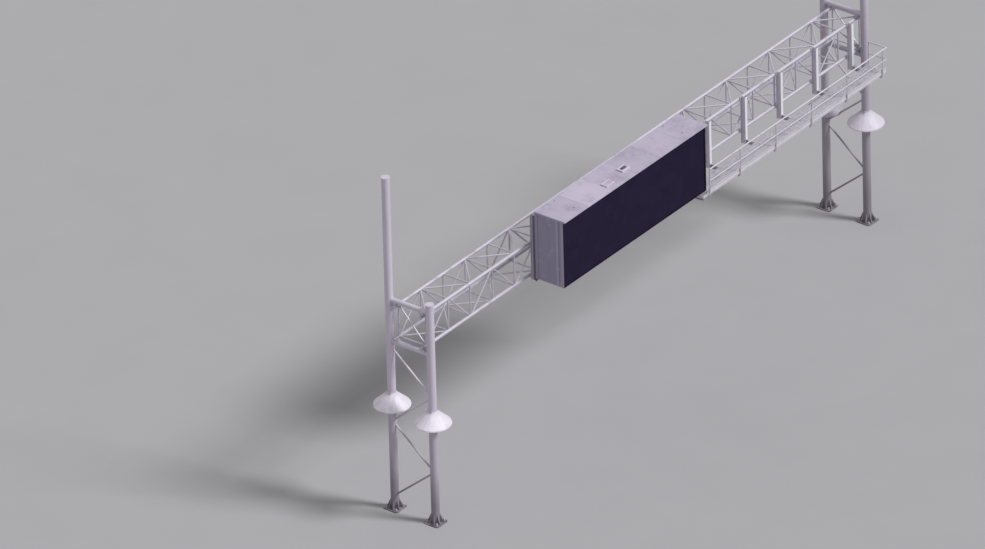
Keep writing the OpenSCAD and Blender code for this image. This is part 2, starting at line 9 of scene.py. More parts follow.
import bmesh
import bpy
import numpy as np
from mathutils import Matrix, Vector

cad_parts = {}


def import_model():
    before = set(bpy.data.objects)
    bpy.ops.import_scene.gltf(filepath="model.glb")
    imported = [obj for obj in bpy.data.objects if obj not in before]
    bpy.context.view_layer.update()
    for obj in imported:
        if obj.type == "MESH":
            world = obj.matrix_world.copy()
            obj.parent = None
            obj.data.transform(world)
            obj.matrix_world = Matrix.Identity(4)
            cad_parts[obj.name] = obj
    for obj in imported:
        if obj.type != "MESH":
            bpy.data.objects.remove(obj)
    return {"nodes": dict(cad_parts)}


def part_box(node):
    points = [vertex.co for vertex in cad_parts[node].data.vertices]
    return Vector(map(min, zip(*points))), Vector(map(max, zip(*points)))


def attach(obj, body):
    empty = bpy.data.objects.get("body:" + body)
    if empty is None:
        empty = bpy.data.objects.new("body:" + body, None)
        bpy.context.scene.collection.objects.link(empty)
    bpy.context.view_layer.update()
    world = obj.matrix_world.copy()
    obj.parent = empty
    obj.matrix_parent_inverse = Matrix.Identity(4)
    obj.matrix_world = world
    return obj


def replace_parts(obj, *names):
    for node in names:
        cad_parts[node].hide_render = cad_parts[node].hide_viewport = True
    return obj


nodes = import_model()["nodes"]
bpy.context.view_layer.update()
scene = bpy.context.scene
X, Y, Z = np.eye(3)


# Camera
# A very long lens, far off and high up, that looks down along the span from the near legs and
# shows the front of the sign. The focal length is in pixels of the image's width.
AIM = np.array([0.0, 0.29, 6.0])
AZIMUTH, ELEVATION, ROLL = (math.radians(angle) for angle in (-52.188, 30.182, -1.558))
DISTANCE, SIDEWAYS, UPWARDS = 650.0, -4.472, -2.240
FOCAL_PIXELS, IMAGE_WIDTH = 20352.8, 985.0

level = math.cos(AZIMUTH) * X + math.sin(AZIMUTH) * Y
backward = math.cos(ELEVATION) * np.cross(level, Z) + math.sin(ELEVATION) * Z
upright = np.cross(backward, level)


def stood(name, data, side, up, back, spot):
    """A camera or a lamp with those axes at that spot. It looks away from back."""
    made = bpy.data.objects.new(name, data)
    axes = np.stack([side, up, back, spot], axis=1)
    made.matrix_world = Matrix([*axes.tolist(), [0.0, 0.0, 0.0, 1.0]])
    scene.collection.objects.link(made)
    return made


lens = bpy.data.cameras.new("camera")
lens.sensor_width = 36.0
lens.lens = FOCAL_PIXELS * lens.sensor_width / IMAGE_WIDTH
lens.clip_start, lens.clip_end = 10.0, 3000.0
camera = stood(
    "camera", lens, math.cos(ROLL) * level + math.sin(ROLL) * upright,
    math.cos(ROLL) * upright - math.sin(ROLL) * level, backward,
    AIM + DISTANCE * backward + SIDEWAYS * level + UPWARDS * upright,
)
scene.camera = camera
scene.view_settings.view_transform = "Standard"


# Light and floor
# A broad soft lamp from the front right and an even pale sky. The floor is a wide pale disc
# on which the four base plates stand.
SKY_FILL, SKY_SEEN = 0.38, 0.80
LAMP_STRENGTH, LAMP_SPREAD = 2.55, math.radians(14)
LAMP_FROM, LAMP_DISTANCE = (0.25, -0.68, 0.69), 30.0
FLOOR_RADIUS, FLOOR_DEPTH, FLOOR_RINGS, FLOOR_SIDES = 900.0, 1.0, 12, 48
MERGE_DISTANCE, CREASE = 1e-5, math.radians(35)


class Value:
    """A socket among the nodes. Arithmetic on it adds Math nodes, so a formula reads as one."""

    def __init__(self, nodes, socket):
        self.nodes = nodes
        self.socket = socket

    def __add__(self, other):
        return self.nodes.math("ADD", self, other)

    def __radd__(self, other):
        return self.nodes.math("ADD", other, self)

    def __sub__(self, other):
        return self.nodes.math("SUBTRACT", self, other)

    def __rsub__(self, other):
        return self.nodes.math("SUBTRACT", other, self)

    def __mul__(self, other):
        return self.nodes.math("MULTIPLY", self, other)

    def __rmul__(self, other):
        return self.nodes.math("MULTIPLY", other, self)

    def __truediv__(self, other):
        return self.nodes.math("DIVIDE", self, other)


class Nodes:
    """The nodes of the sky or of a finish."""

    def __init__(self, tree):
        self.tree = tree
        self.tree.nodes.clear()

    def node(self, kind, sockets=None, out=0, **settings):
        """Adds a node: its settings first, then a value or a link for each named socket."""
        made = self.tree.nodes.new(kind)
        for key, value in settings.items():
            setattr(made, key, value)
        for key, value in (sockets or {}).items():
            if isinstance(value, Value):
                self.tree.links.new(value.socket, made.inputs[key])
            else:
                made.inputs[key].default_value = value
        return Value(self, made.outputs[out]) if made.outputs else None

    def math(self, operation, *terms):
        return self.node("ShaderNodeMath", dict(enumerate(terms)), operation=operation)


class Finish(Nodes):
    """A material put together from nodes and ended by one Principled shader."""

    def __init__(self, name):
        self.material = bpy.data.materials.new(name)
        self.material.use_nodes = True
        super().__init__(self.material.node_tree)
        self.place = self.node("ShaderNodeTexCoord", out="Object")

    def axis(self, letter):
        """The place along X, Y or Z, in metres."""
        return self.node("ShaderNodeSeparateXYZ", {0: self.place}, out=letter)

    def noise(self, scale, z_scale=1.0, detail=4.0, shift=0.0, at=None):
        """Clouds from 0 to 1, about scale of them to the metre and z_scale times that upwards."""
        at = self.node("ShaderNodeMapping", {
            "Vector": at or self.place, "Location": [shift] * 3, "Scale": (1.0, 1.0, z_scale),
        })
        return self.node("ShaderNodeTexNoise", {
            "Vector": at, "Scale": scale, "Detail": detail, "Roughness": 0.55,
        })

    def cells(self, scale):
        """A random tone from 0 to 1 for each crystal, with about scale of them to the metre."""
        sockets = {"Vector": self.place, "Scale": scale}
        return self.node("ShaderNodeTexVoronoi", sockets, out="Color")

    def steps(self, value, seed=0.0):
        """A random tone from 0 to 1 for each whole number that value passes."""
        whole = self.math("FLOOR", value) + seed
        return self.node("ShaderNodeTexWhiteNoise", {"W": whole}, noise_dimensions="1D")

    def near(self, value, width):
        """1 within width of a whole number of value, else 0, with a soft edge."""
        away = self.math("PINGPONG", value, 0.5)
        return self.smooth(away, width, 0.4 * width)

    def smooth(self, value, low, high):
        """0 below low, 1 above high and an even S between; low may be the greater."""
        return self.node("ShaderNodeMapRange", {
            "Value": value, "From Min": low, "From Max": high,
        }, interpolation_type="SMOOTHSTEP")

    def blend(self, factor, first, second, *coats):
        """The first colour where factor is 0 and the second where it is 1. Each coat, which is
        a factor and a colour, is laid over that in the same way."""
        first, second = (c if isinstance(c, Value) else (*c, 1.0) for c in (first, second))
        sockets = {0: factor, 6: first, 7: second}
        tone = self.node("ShaderNodeMix", sockets, out=2, data_type="RGBA")
        for factor, colour in coats:
            tone = self.blend(factor, tone, colour)
        return tone

    def end(self, colour, roughness, relief=None, depth=0.0, metallic=0.0, specular=0.5):
        """The closing shader. The surface tilts as a relief from 0 to 1 of that depth would."""
        sockets = {
            "Base Color": colour, "Roughness": roughness, "Metallic": metallic,
            "Specular IOR Level": specular,
        }
        if relief is not None:
            bump = {"Height": relief, "Distance": depth, "Strength": 0.8}
            sockets["Normal"] = self.node("ShaderNodeBump", bump)
        shader = self.node("ShaderNodeBsdfPrincipled", sockets)
        self.node("ShaderNodeOutputMaterial", {"Surface": shader})
        return self.material


def grids(points, wrap_rows=False):
    """One or more like grids as a shape, which is its points and its quads. points runs over
    grids, rows, columns and coordinates. Point (i, j) is number i * cols + j of its grid. The
    last column joins the first, and so do the rows if they are wrapped."""
    count, rows, cols = points.shape[:3]
    i = np.arange(rows if wrap_rows else rows - 1)[:, None]
    j = np.arange(cols)
    below, right = (i + 1) % rows, (j + 1) % cols
    one = np.stack(np.broadcast_arrays(
        i * cols + j, i * cols + right, below * cols + right, below * cols + j
    ), axis=-1).reshape(-1, 4)
    steps = rows * cols * np.arange(count)[:, None, None]
    return points.reshape(-1, 3), (one + steps).reshape(-1, 4)


def piece(name, shape, material, slot=None):
    """Makes one object of a shape. Quads that end in a pole become triangles, and every closed
    shell's faces are turned outwards."""
    points, quads = shape
    mesh = bpy.data.meshes.new(name)
    mesh.from_pydata(points, [], quads)
    work = bmesh.new()
    work.from_mesh(mesh)
    bmesh.ops.remove_doubles(work, verts=work.verts, dist=MERGE_DISTANCE)
    bmesh.ops.recalc_face_normals(work, faces=work.faces)
    work.to_mesh(mesh)
    work.free()
    mesh.shade_smooth()
    mesh.set_sharp_from_angle(angle=CREASE)
    mesh.materials.append(material)
    made = bpy.data.objects.new(name, mesh)
    scene.collection.objects.link(made)
    if slot:
        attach(made, "root")
    return made


def unit(vectors):
    """The same directions with length 1."""
    return vectors / np.linalg.norm(vectors, axis=-1, keepdims=True)


def circle(count):
    """count points (cos t, sin t), evenly round the whole turn."""
    turn = 2 * np.pi * np.arange(count) / count
    return np.stack([np.cos(turn), np.sin(turn)], axis=-1)


def turned(profile, sides, bulge=1.0):
    """Surface about Z: profile point (r, z) goes to (b r cos t, b r sin t, z), where the bulge
    b may differ from point to point of the grid."""
    profile = np.asarray(profile, float)
    radius = bulge * profile[:, :1]
    cosine, sine = circle(sides).T
    return grids(np.stack(
        np.broadcast_arrays(radius * cosine, radius * sine, profile[:, 1:]), axis=-1
    )[None])


world = bpy.data.worlds.new("sky")
scene.world = world
world.use_nodes = True
sky = Nodes(world.node_tree)
seen = sky.node("ShaderNodeLightPath", out="Is Camera Ray")
for ray in ("Is Glossy Ray", "Is Transmission Ray"):
    seen = sky.math("MAXIMUM", seen, sky.node("ShaderNodeLightPath", out=ray))
sky_light = sky.node("ShaderNodeBackground", {
    "Color": (1.0, 1.0, 1.0, 1.0), "Strength": SKY_FILL + (SKY_SEEN - SKY_FILL) * seen,
})
sky.node("ShaderNodeOutputWorld", {"Surface": sky_light})

lamp = bpy.data.lights.new("lamp", "SUN")
lamp.energy, lamp.angle = LAMP_STRENGTH, LAMP_SPREAD
lamp_axis = unit(LAMP_FROM)
lamp_side = unit(np.cross(Y, lamp_axis))
lamp_up = np.cross(lamp_axis, lamp_side)
stood("lamp", lamp, lamp_side, lamp_up, lamp_axis, LAMP_DISTANCE * lamp_axis)

ground = Finish("pale_floor")
floor_tone = ground.blend(
    ground.noise(0.4, detail=2.0), (0.42, 0.415, 0.435), (0.45, 0.445, 0.465)
)
floor_top = [(r, 0.0) for r in FLOOR_RADIUS * np.linspace(0.0, 1.0, FLOOR_RINGS) ** 2]
floor_rim = [(FLOOR_RADIUS, -FLOOR_DEPTH), (0.0, -FLOOR_DEPTH)]
floor = piece(
    "floor", turned(floor_top + floor_rim, FLOOR_SIDES),
    ground.end(floor_tone, 0.9, specular=0.1),
)


# Leg bases
# Thick square plates with welded gussets, each held down by four big anchor bolts that stick
# up through their nuts. Galvanised steel, stained by splashed dirt.
LEG_R, PLATE_T = 0.1365, 0.038
ANCHOR_COUNT, ANCHOR_CIRCLE, ANCHOR_R = 4, 0.270, 0.018
ANCHOR_OUT, ANCHOR_PITCH = 0.088, 0.004
ANCHOR_WASHER_R, ANCHOR_WASHER_T = 0.036, 0.006
ANCHOR_NUT, ANCHOR_NUT_H, LOCK_NUT_Z, LOCK_NUT_H = 0.055, 0.029, 0.036, 0.016
GUSSET_COUNT, GUSSET_SIDE, GUSSET_REACH, GUSSET_H = 8, 0.008, 0.112, 0.262
GUSSET_BEAD, GUSSET_BEAD_STEPS = 0.0055, 22
BEAD_OFF, FOOT_BEAD, RIPPLE, GUSSET_RIPPLE = 0.002, 0.0065, 0.14, 0.16

CORNERS = ("near_front", "near_rear", "far_front", "far_rear")
leg_axes = {}
for corner in CORNERS:
    low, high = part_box(corner + "_base")
    leg_axes[corner] = ((low.x + high.x) / 2, (low.y + high.y) / 2)


def joined(*shapes):
    """Several shapes as one: each one's quads count on from the points before it."""
    counts = np.cumsum([0] + [len(points) for points, _ in shapes[:-1]])
    return (
        np.concatenate([points for points, _ in shapes]),
        np.concatenate([quads + count for (_, quads), count in zip(shapes, counts)]),
    )


def repeated(shape, places, turns=None):
    """One shape at many places: point p goes to turn p + place, with one 3 x 3 turn for all or
    one for each."""
    points, quads = shape
    places = np.asarray(places, float).reshape(-1, 3)
    turns = np.broadcast_to(np.eye(3) if turns is None else turns, (len(places), 3, 3))
    spread = np.einsum("nij,pj->npi", turns, points) + places[:, None]
    steps = len(points) * np.arange(len(places))[:, None, None]
    return spread.reshape(-1, 3), (quads + steps).reshape(-1, 4)


def nut(across, height, sides=12):
    """Hexagon nut on Z = 0. At angle t its flank lies at (across / 2) / cos(u), where u is the
    angle from the nearest flat's middle, and a cone cuts the corners at both ends."""
    turn = 2 * np.pi * np.arange(sides) / sides
    flank = across / 2 / np.cos((turn + np.pi / 6) % (np.pi / 3) - np.pi / 6)
    cone = np.minimum(flank, across / 2 * 1.01)
    cut = 0.12 * height
    rows = [(0, 0), (1, 0), (1, cut), (1, height - cut), (1, height), (0, height)]
    return turned(rows, sides, np.stack([cone, cone, flank, flank, cone, cone]))


def washer(radius, height, sides=20):
    """Flat washer on Z = 0 with softened edges, solid because the bolt fills it."""
    edge = 0.25 * height
    return turned([
        (0, 0), (radius - edge, 0), (radius, edge), (radius, height - edge),
        (radius - edge, height), (0, height),
    ], sides)


def thread(radius, height, pitch):
    """Threaded rod on Z = 0: its radius falls and rises by 0.35 pitch at each half pitch."""
    level = np.arange(0.0, height, pitch / 2)
    radii = radius - 0.35 * pitch * (np.arange(len(level)) % 2)
    return turned([(0, 0), *zip(radii, level), (radius - pitch / 2, height), (0, height)], 12)


def rings(loops, outward, size, sides=5):
    """Round beads along closed loops. At loop point p with tangent t and outward direction n
    the bead's points are p + s (cos a n + sin a (t x n)), and s swells at every second point
    as the ripples of a weld do."""
    outward = np.broadcast_to(outward, loops.shape)
    side = unit(np.cross(np.roll(loops, -1, 1) - np.roll(loops, 1, 1), outward))
    swell = size * (1 + RIPPLE * (-1.0) ** np.arange(loops.shape[1]))[:, None, None]
    cosine, sine = circle(sides).T[..., None]
    bead = cosine * outward[:, :, None] + sine * side[:, :, None]
    return grids(loops[:, :, None] + swell * bead, wrap_rows=True)


def girths(centres, radius, size, count=72, along_x=False):
    """Beads round tubes along Z or along X: circles of that radius about each centre, whose
    outward directions are (cos t, sin t, 0), or (0, cos t, sin t) along X."""
    outward = np.insert(circle(count), 0 if along_x else 2, 0.0, axis=1)
    return rings(np.asarray(centres, float)[:, None] + radius * outward, outward, size)


def carried(path, across, section, swell=1.0):
    """A section carried along an open path. At path point p with tangent t, section point
    (a, b) goes to p + swell (a n + b (t x n)), where n is across, and each end is closed."""
    path, section = np.asarray(path, float), np.asarray(section, float)
    across = np.broadcast_to(across, path.shape)
    side = np.cross(unit(np.gradient(path, axis=0)), across)
    ring = section[:, :1] * across[:, None] + section[:, 1:] * side[:, None]
    points = path[:, None] + np.broadcast_to(swell, len(path))[:, None, None] * ring
    ends = np.repeat(points[[0, -1]].mean(axis=1, keepdims=True), len(section), axis=1)
    return grids(np.concatenate([ends[:1], points, ends[1:]])[None])


def gusset_bead(angle, side, upwards):
    """Weld along one edge of a gusset's side: up the leg, or out along the plate."""
    edge = GUSSET_H * Z if upwards else GUSSET_REACH * X
    start = (LEG_R + BEAD_OFF, side * GUSSET_SIDE, PLATE_T)
    path = start + np.linspace(0, 1, GUSSET_BEAD_STEPS)[:, None] * edge
    swell = 1 + GUSSET_RIPPLE * (-1.0) ** np.arange(GUSSET_BEAD_STEPS)
    out = math.cos(angle) * X + math.sin(angle) * Y
    turn = np.stack([out, np.cross(Z, out), Z], axis=-1)
    return repeated(carried(path, Y, GUSSET_BEAD * circle(5), swell), 0 * Z, turn)


def dress(material, *names):
    """Gives CAD nodes their material."""
    for name in names:
        for place in nodes[name].material_slots:
            place.material = material


anchor = joined(
    washer(ANCHOR_WASHER_R, ANCHOR_WASHER_T),
    repeated(nut(ANCHOR_NUT, ANCHOR_NUT_H, 24), ANCHOR_WASHER_T * Z),
    repeated(nut(ANCHOR_NUT, LOCK_NUT_H, 24), LOCK_NUT_Z * Z),
    thread(ANCHOR_R, ANCHOR_OUT, ANCHOR_PITCH),
)
anchors = repeated(anchor, [
    (ANCHOR_CIRCLE * math.cos(t), ANCHOR_CIRCLE * math.sin(t), PLATE_T)
    for t in np.radians(45 + 360 / ANCHOR_COUNT * np.arange(ANCHOR_COUNT))
])
base_welds = joined(girths([PLATE_T * Z], LEG_R + BEAD_OFF, FOOT_BEAD), *[
    gusset_bead(angle, side, upwards)
    for angle in np.radians(360 / GUSSET_COUNT * (np.arange(GUSSET_COUNT) + 0.5))
    for side in (-1, 1) for upwards in (True, False)
])
base_places = [(x, y, 0.0) for x, y in leg_axes.values()]

zinc = Finish("zinc_bolts")
bolt_wear = zinc.noise(38.0, detail=5.0)
bolt_tone = zinc.blend(
    zinc.noise(9.0), (0.42, 0.40, 0.46), (0.58, 0.56, 0.62),
    (zinc.smooth(bolt_wear, 0.58, 0.72), (0.24, 0.16, 0.12)),
)
bolt_zinc = zinc.end(bolt_tone, 0.38 + 0.3 * bolt_wear, zinc.noise(160.0), 0.0006, metallic=0.45)

base = Finish("base_steel")
base_dirt = base.noise(3.4, detail=6.0)
base_stain = base.smooth(base_dirt - 0.35 * base.axis("Z"), 0.34, 0.62)
base_rust = base.smooth(base.noise(17.0, detail=6.0, shift=5.0), 0.62, 0.74)
base_tone = base.blend(
    base_stain, (0.33, 0.31, 0.36), (0.17, 0.15, 0.165), (0.55 * base_rust, (0.20, 0.115, 0.075))
)
base_steel = base.end(
    base_tone, 0.52 + 0.3 * base_stain, base.noise(90.0, detail=5.0), 0.0012, metallic=0.2
)

dress(base_steel, *[corner + "_base" for corner in CORNERS])
piece("anchor_bolts", repeated(anchors, base_places), bolt_zinc, "base_steel")
piece("base_welds", repeated(base_welds, base_places), base_steel, "base_steel")


# Legs
# Four plain round tubes, two short and two that run on as masts, each closed by a cap plate.
# Galvanised steel gone dull, grimy towards the foot; long tubes are joined by girth welds.
CAP_T, LEG_BEAD = 0.012, 0.0045
GIRTHS = dict(zip(CORNERS, [(5.05,), (5.05, 9.3), (5.05, 9.3), (5.05,)]))

leg = Finish("leg_steel")
leg_height = leg.axis("Z")
leg_streak = leg.noise(7.0, z_scale=0.09, detail=5.0)
leg_cloud = leg.noise(1.6, z_scale=0.5, detail=5.0, shift=3.0)
leg_wear = 0.55 * leg_streak + 0.3 * leg_cloud + 0.15 * leg.cells(46.0)
leg_foot = leg.smooth(leg_height + 1.5 * (leg_cloud - 0.5), 2.4, 0.5)
# Painted shade under the climb guards: the legs are darker just below the cones.
leg_guard_shade = leg.smooth(leg_height + 0.8 * (leg_streak - 0.5), 3.9, 3.2)
leg_far = leg.smooth(leg.axis("X") - 1.2 * leg_height, -3.0, 8.0)
leg_rust = leg.smooth(leg.noise(12.0, z_scale=0.2, shift=8.0), 0.70, 0.80)
leg_tone = leg.blend(
    leg_wear, (0.77, 0.71, 0.83), (0.51, 0.465, 0.56),
    (0.45 * leg_guard_shade, (0.32, 0.29, 0.35)), (0.55 * leg_far, (0.22, 0.21, 0.235)),
    (0.8 * leg_foot, (0.23, 0.205, 0.245)), (0.5 * leg_rust, (0.30, 0.19, 0.14)),
)
leg_roughness = 0.44 + 0.22 * leg_cloud + 0.12 * leg_foot
leg_steel = leg.end(leg_tone, leg_roughness, leg.noise(70.0, detail=4.0), 0.0006, metallic=0.25)
dress(leg_steel, *[corner + "_leg" for corner in CORNERS])

girth_centres, cap_centres = [], []
for corner, (x, y) in leg_axes.items():
    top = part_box(corner + "_leg")[1].z
    girth_centres += [(x, y, z) for z in GIRTHS[corner]]
    cap_centres.append((x, y, top - CAP_T))
piece("leg_welds", joined(
    girths(girth_centres, LEG_R - 0.001, LEG_BEAD),
    girths(cap_centres, LEG_R + 0.001, LEG_BEAD),
), leg_steel, "leg_steel")


# Climb guards
# A cone of pale coated sheet round each leg, rolled in two halves that lap under rows of
# rivets, turned down at the rim and clamped to the leg by a collar with bolted ears.
RIM_R, NECK_R, RIM_DROP = 0.605, 0.1415, 0.028
CONE_LOW, CONE_HIGH = 0.007, 0.435
SEAM_TURNS = np.radians([205.0, 25.0])
LAP_WIDTH, LAP_RIVETS, SHEET_T, RIM_BEAD, NECK_BEAD = 0.046, 9, 0.003, 0.006, 0.003
EAR_Z, EAR_SPAN, EAR_BOLT_OUT = 0.462, (0.139, 0.182), 0.164
EAR_WIDTH, EAR_OFF = 0.044, 0.008


def flat(width, low, high, edge=0.0006):
    """Section of a flat bar with softened edges, from low to high in b."""
    a, b = width / 2, (low + high) / 2
    c = (high - low) / 2
    return [
        (-a, b - c + edge), (-a + edge, b - c), (a - edge, b - c), (a, b - c + edge),
        (a, b + c - edge), (a - edge, b + c), (-a + edge, b + c), (-a, b + c - edge),
    ]


def facing(outward, across=Z):
    """Turns whose columns are a side near across, outward x side and outward, so that a shape
    on Z = 0 looks outward."""
    outward = unit(np.atleast_2d(outward))
    side = unit(across - (outward @ across)[:, None] * outward)
    return np.stack([side, np.cross(outward, side), outward], axis=-1)


def bolt(radius, low, high, tail=0.010):
    """Hexagon bolt along Z that clamps low to high, its head above and its nut below."""
    rim, end = 0.3 * radius, low - 2 * radius - tail
    return joined(
        repeated(washer(2.1 * radius, rim, 12), [high * Z, (low - rim) * Z]),
        repeated(nut(3.2 * radius, 1.3 * radius), (high + rim) * Z),
        repeated(nut(3.2 * radius, 1.5 * radius), (low - rim - 1.5 * radius) * Z),
        turned([(0, end), (radius, end), (radius, high), (0, high)], 10),
    )


def rivet(radius):
    """Domed rivet head on Z = 0."""
    return turned([
        (0, -0.2 * radius), (radius, -0.2 * radius), (0.93 * radius, 0.3 * radius),
        (0.55 * radius, 0.62 * radius), (0, 0.7 * radius),
    ], 8)


def guard_seam(angle):
    """Lap of a cone's two halves with its rivets, straight up the slope at that angle, and the
    pair of collar ears above it with their bolt."""
    out = math.cos(angle) * X + math.sin(angle) * Y
    along = np.cross(out, Z)
    foot = RIM_R * out + CONE_LOW * Z
    slope = NECK_R * out + CONE_HIGH * Z - foot
    upward = np.cross(unit(slope), along)
    heads = foot + np.linspace(0.07, 0.93, LAP_RIVETS)[:, None] * slope + SHEET_T * upward
    lap = flat(LAP_WIDTH, -SHEET_T, SHEET_T)
    ear, grip = flat(EAR_WIDTH, -SHEET_T, SHEET_T), EAR_OFF + SHEET_T
    return joined(
        carried([foot + 0.02 * slope, foot + 0.98 * slope], along, lap),
        repeated(rivet(0.007), heads, facing(upward, slope)),
        *[
            carried([reach * out + side * along + EAR_Z * Z for reach in EAR_SPAN], Z, ear)
            for side in (-EAR_OFF, EAR_OFF)
        ],
        repeated(bolt(0.006, -grip, grip), EAR_BOLT_OUT * out + EAR_Z * Z, facing(along)),
    )


guard_rims = [
    (*leg_axes[corner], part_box(corner + "_guard")[0].z + RIM_DROP) for corner in CORNERS
]
guard_fittings = joined(
    *[guard_seam(angle) for angle in SEAM_TURNS],
    girths([(0.004 - RIM_DROP) * Z], RIM_R - 0.001, RIM_BEAD),
    girths([(CONE_HIGH - 0.001) * Z], NECK_R + 0.001, NECK_BEAD),
)

span_half = leg_axes["far_front"][0]
leg_xs = (-span_half, span_half)
mid_y = (leg_axes["near_front"][1] + leg_axes["near_rear"][1]) / 2
half_spacing = (leg_axes["near_rear"][1] - leg_axes["near_front"][1]) / 2
guard = Finish("guard_sheet")
guard_end = guard.math("SIGN", guard.axis("X"))
guard_side = guard.math("SIGN", guard.axis("Y") - mid_y)
guard_x = guard.axis("X") - span_half * guard_end
guard_y = guard.axis("Y") - mid_y - half_spacing * guard_side
guard_out = guard.math("SQRT", guard_x * guard_x + guard_y * guard_y)
guard_ray = guard.node("ShaderNodeCombineXYZ", {
    0: guard_x / guard_out, 1: guard_y / guard_out, 2: 0.5 * guard_out,
})
guard_streak = guard.noise(6.0, detail=5.0, at=guard_ray)
guard_patch = guard.noise(4.0, detail=5.0, shift=2.0)
guard_grime = guard.smooth(0.7 * guard_streak + 0.5 * guard_patch, 0.56, 0.80)
guard_neck = guard.smooth(guard_out + 0.10 * guard_patch, 0.34, 0.18)
guard_lit = (lamp_axis[0] * guard_x + lamp_axis[1] * guard_y) / guard_out
# Painted shading: the side of each cone turned to the lamp is painted darker and the side turned
# away is painted paler, which flattens the lamp's shading.
guard_painted_shading = guard.smooth(guard_lit, 0.15, 0.65)
guard_age = guard.smooth(0.25 * guard_end + 0.15 * guard_side, -0.10, 0.45)
guard_tone = guard.blend(
    guard_painted_shading, (0.89, 0.84, 0.95), (0.72, 0.68, 0.77),
    (0.9 * guard_age, (0.27, 0.255, 0.305)), (0.5 * guard_grime, (0.55, 0.52, 0.60)),
    (0.5 * guard_neck, (0.44, 0.41, 0.48)),
)
guard_sheet = guard.end(
    guard_tone, 0.56 + 0.2 * guard_grime, guard.noise(30.0, detail=3.0), 0.0008, metallic=0.05
)
dress(guard_sheet, *[corner + "_guard" for corner in CORNERS])
piece("guard_fittings", repeated(guard_fittings, guard_rims), guard_sheet, "guard_sheet")


# Leg braces
# A zigzag of tubes between the legs of each pair, their mouths cut to the legs' curve and
# welded all round.
BRACE_R, BRACE_TOP, BRACE_RISE, BRACE_COUNT = 0.030, 5.960, 1.375, 4


def mouths(starts, along, bar_r, axis, tube_r, count=16):
    """Loops where round bars meet a tube, and the outward directions along them. A bar leaves
    the tube's axis at its start. From each point q on the bar's side about the start, s is the
    greater root of |(q + s along) off the axis| = tube_r, and the loop has q + s along."""
    starts, along = np.asarray(starts, float), unit(np.asarray(along, float))
    first = unit(np.cross(along, axis))
    second = np.cross(along, first)
    cosine, sine = circle(count).T[..., None]
    outward = cosine * first[:, None] + sine * second[:, None]
    off = bar_r * outward
    off_flat = off - (off @ axis)[..., None] * axis
    along_flat = (along - (along @ axis)[:, None] * axis)[:, None]
    a = (along_flat ** 2).sum(-1)
    b = (off_flat * along_flat).sum(-1)
    c = (off_flat ** 2).sum(-1) - tube_r ** 2
    reach = (-b + np.sqrt(b * b - a * c)) / a
    return starts[:, None] + off + reach[..., None] * along[:, None], outward


def tubes(starts, ends, bar_r, axis, tube_r, bead, count=16):
    """Round bars between two parallel tubes, each a grid from the loop of its one mouth to the
    loop of the other, and a weld bead round each mouth."""
    starts, ends = np.asarray(starts, float), np.asarray(ends, float)
    low, low_out = mouths(starts, ends - starts, bar_r, axis, tube_r, count)
    high, high_out = mouths(ends, starts - ends, bar_r, axis, tube_r, count)
    facing_low = high[:, (count // 2 - np.arange(count)) % count]
    middles = [
        np.broadcast_to(loop.mean(1, keepdims=True), loop.shape) for loop in (low, facing_low)
    ]
    bars = grids(np.stack([middles[0], low, facing_low, middles[1]], axis=1))
    beads = rings(np.concatenate([low, high]), np.concatenate([low_out, high_out]), bead, 4)
    return bars, beads


brace_low, brace_high = [], []
for x in leg_xs:
    for k in range(BRACE_COUNT):
        upper = BRACE_TOP - k * BRACE_RISE
        side = half_spacing * (-1) ** k
        brace_high.append((x, mid_y + side, upper))
        brace_low.append((x, mid_y - side, upper - BRACE_RISE))
brace_beads = tubes(brace_low, brace_high, BRACE_R, Z, LEG_R, LEG_BEAD, 32)[1]
dress(leg_steel, "near_leg_braces", "far_leg_braces")
piece("brace_welds", brace_beads, leg_steel, "leg_steel")


# Cross beams
# Round beams welded between the legs of a pair, one under the truss and one over it. Each has
# two saddles, to which the chords are held by pairs of U-bolts.
BEAM_R, CHORD_R, BEAM_BEAD = 0.084, 0.05715, 0.007
U_BOLT_X, U_BOLT_Y, U_BOLT_R, U_BOLT_REACH = 0.0555, 0.0665, 0.006, 0.109
U_BOLT_NUT, U_BOLT_NUT_Z = (0.020, 0.011), -0.097
CLAMP_X, CLAMP_Y, CLAMP_Z, CLAMP_FLAT = 0.074, 0.074, -0.080, (0.040, -0.006, 0.006, 0.001)

chords = {}
for name in ("front_top", "front_bottom", "rear_top", "rear_bottom"):
    low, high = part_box(name + "_chord")
    chords[name] = ((low.y + high.y) / 2, (low.z + high.z) / 2)
chord_end = high.x
front_y, top_z = chords["front_top"]
rear_y, bottom_z = chords["rear_bottom"]


def arc(count):
    """count points (cos t, sin t) over half a turn, both ends included."""
    turn = np.linspace(0.0, np.pi, count)
    return np.stack([np.cos(turn), np.sin(turn)], axis=-1)


def u_bolt(half_width, reach, bar_r):
    """U-bolt over a tube along X: a half circle in the YZ plane and two legs down to -reach."""
    bend = half_width * np.insert(arc(13), 0, 0.0, axis=1)
    path = [(0, half_width, -reach), *bend, (0, -half_width, -reach)]
    return carried(path, X, bar_r * circle(8))


beam_zs = (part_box("near_seat_beam")[0].z + BEAM_R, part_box("near_top_beam")[1].z - BEAM_R)
beam_starts = [
    (x, mid_y + side * half_spacing, z) for x in leg_xs for side in (-1, 1) for z in beam_zs
]
beam_along = [(0, mid_y - y, 0) for _, y, _ in beam_starts]
beam_beads = rings(*mouths(beam_starts, beam_along, BEAM_R, Z, LEG_R, 48), BEAM_BEAD)

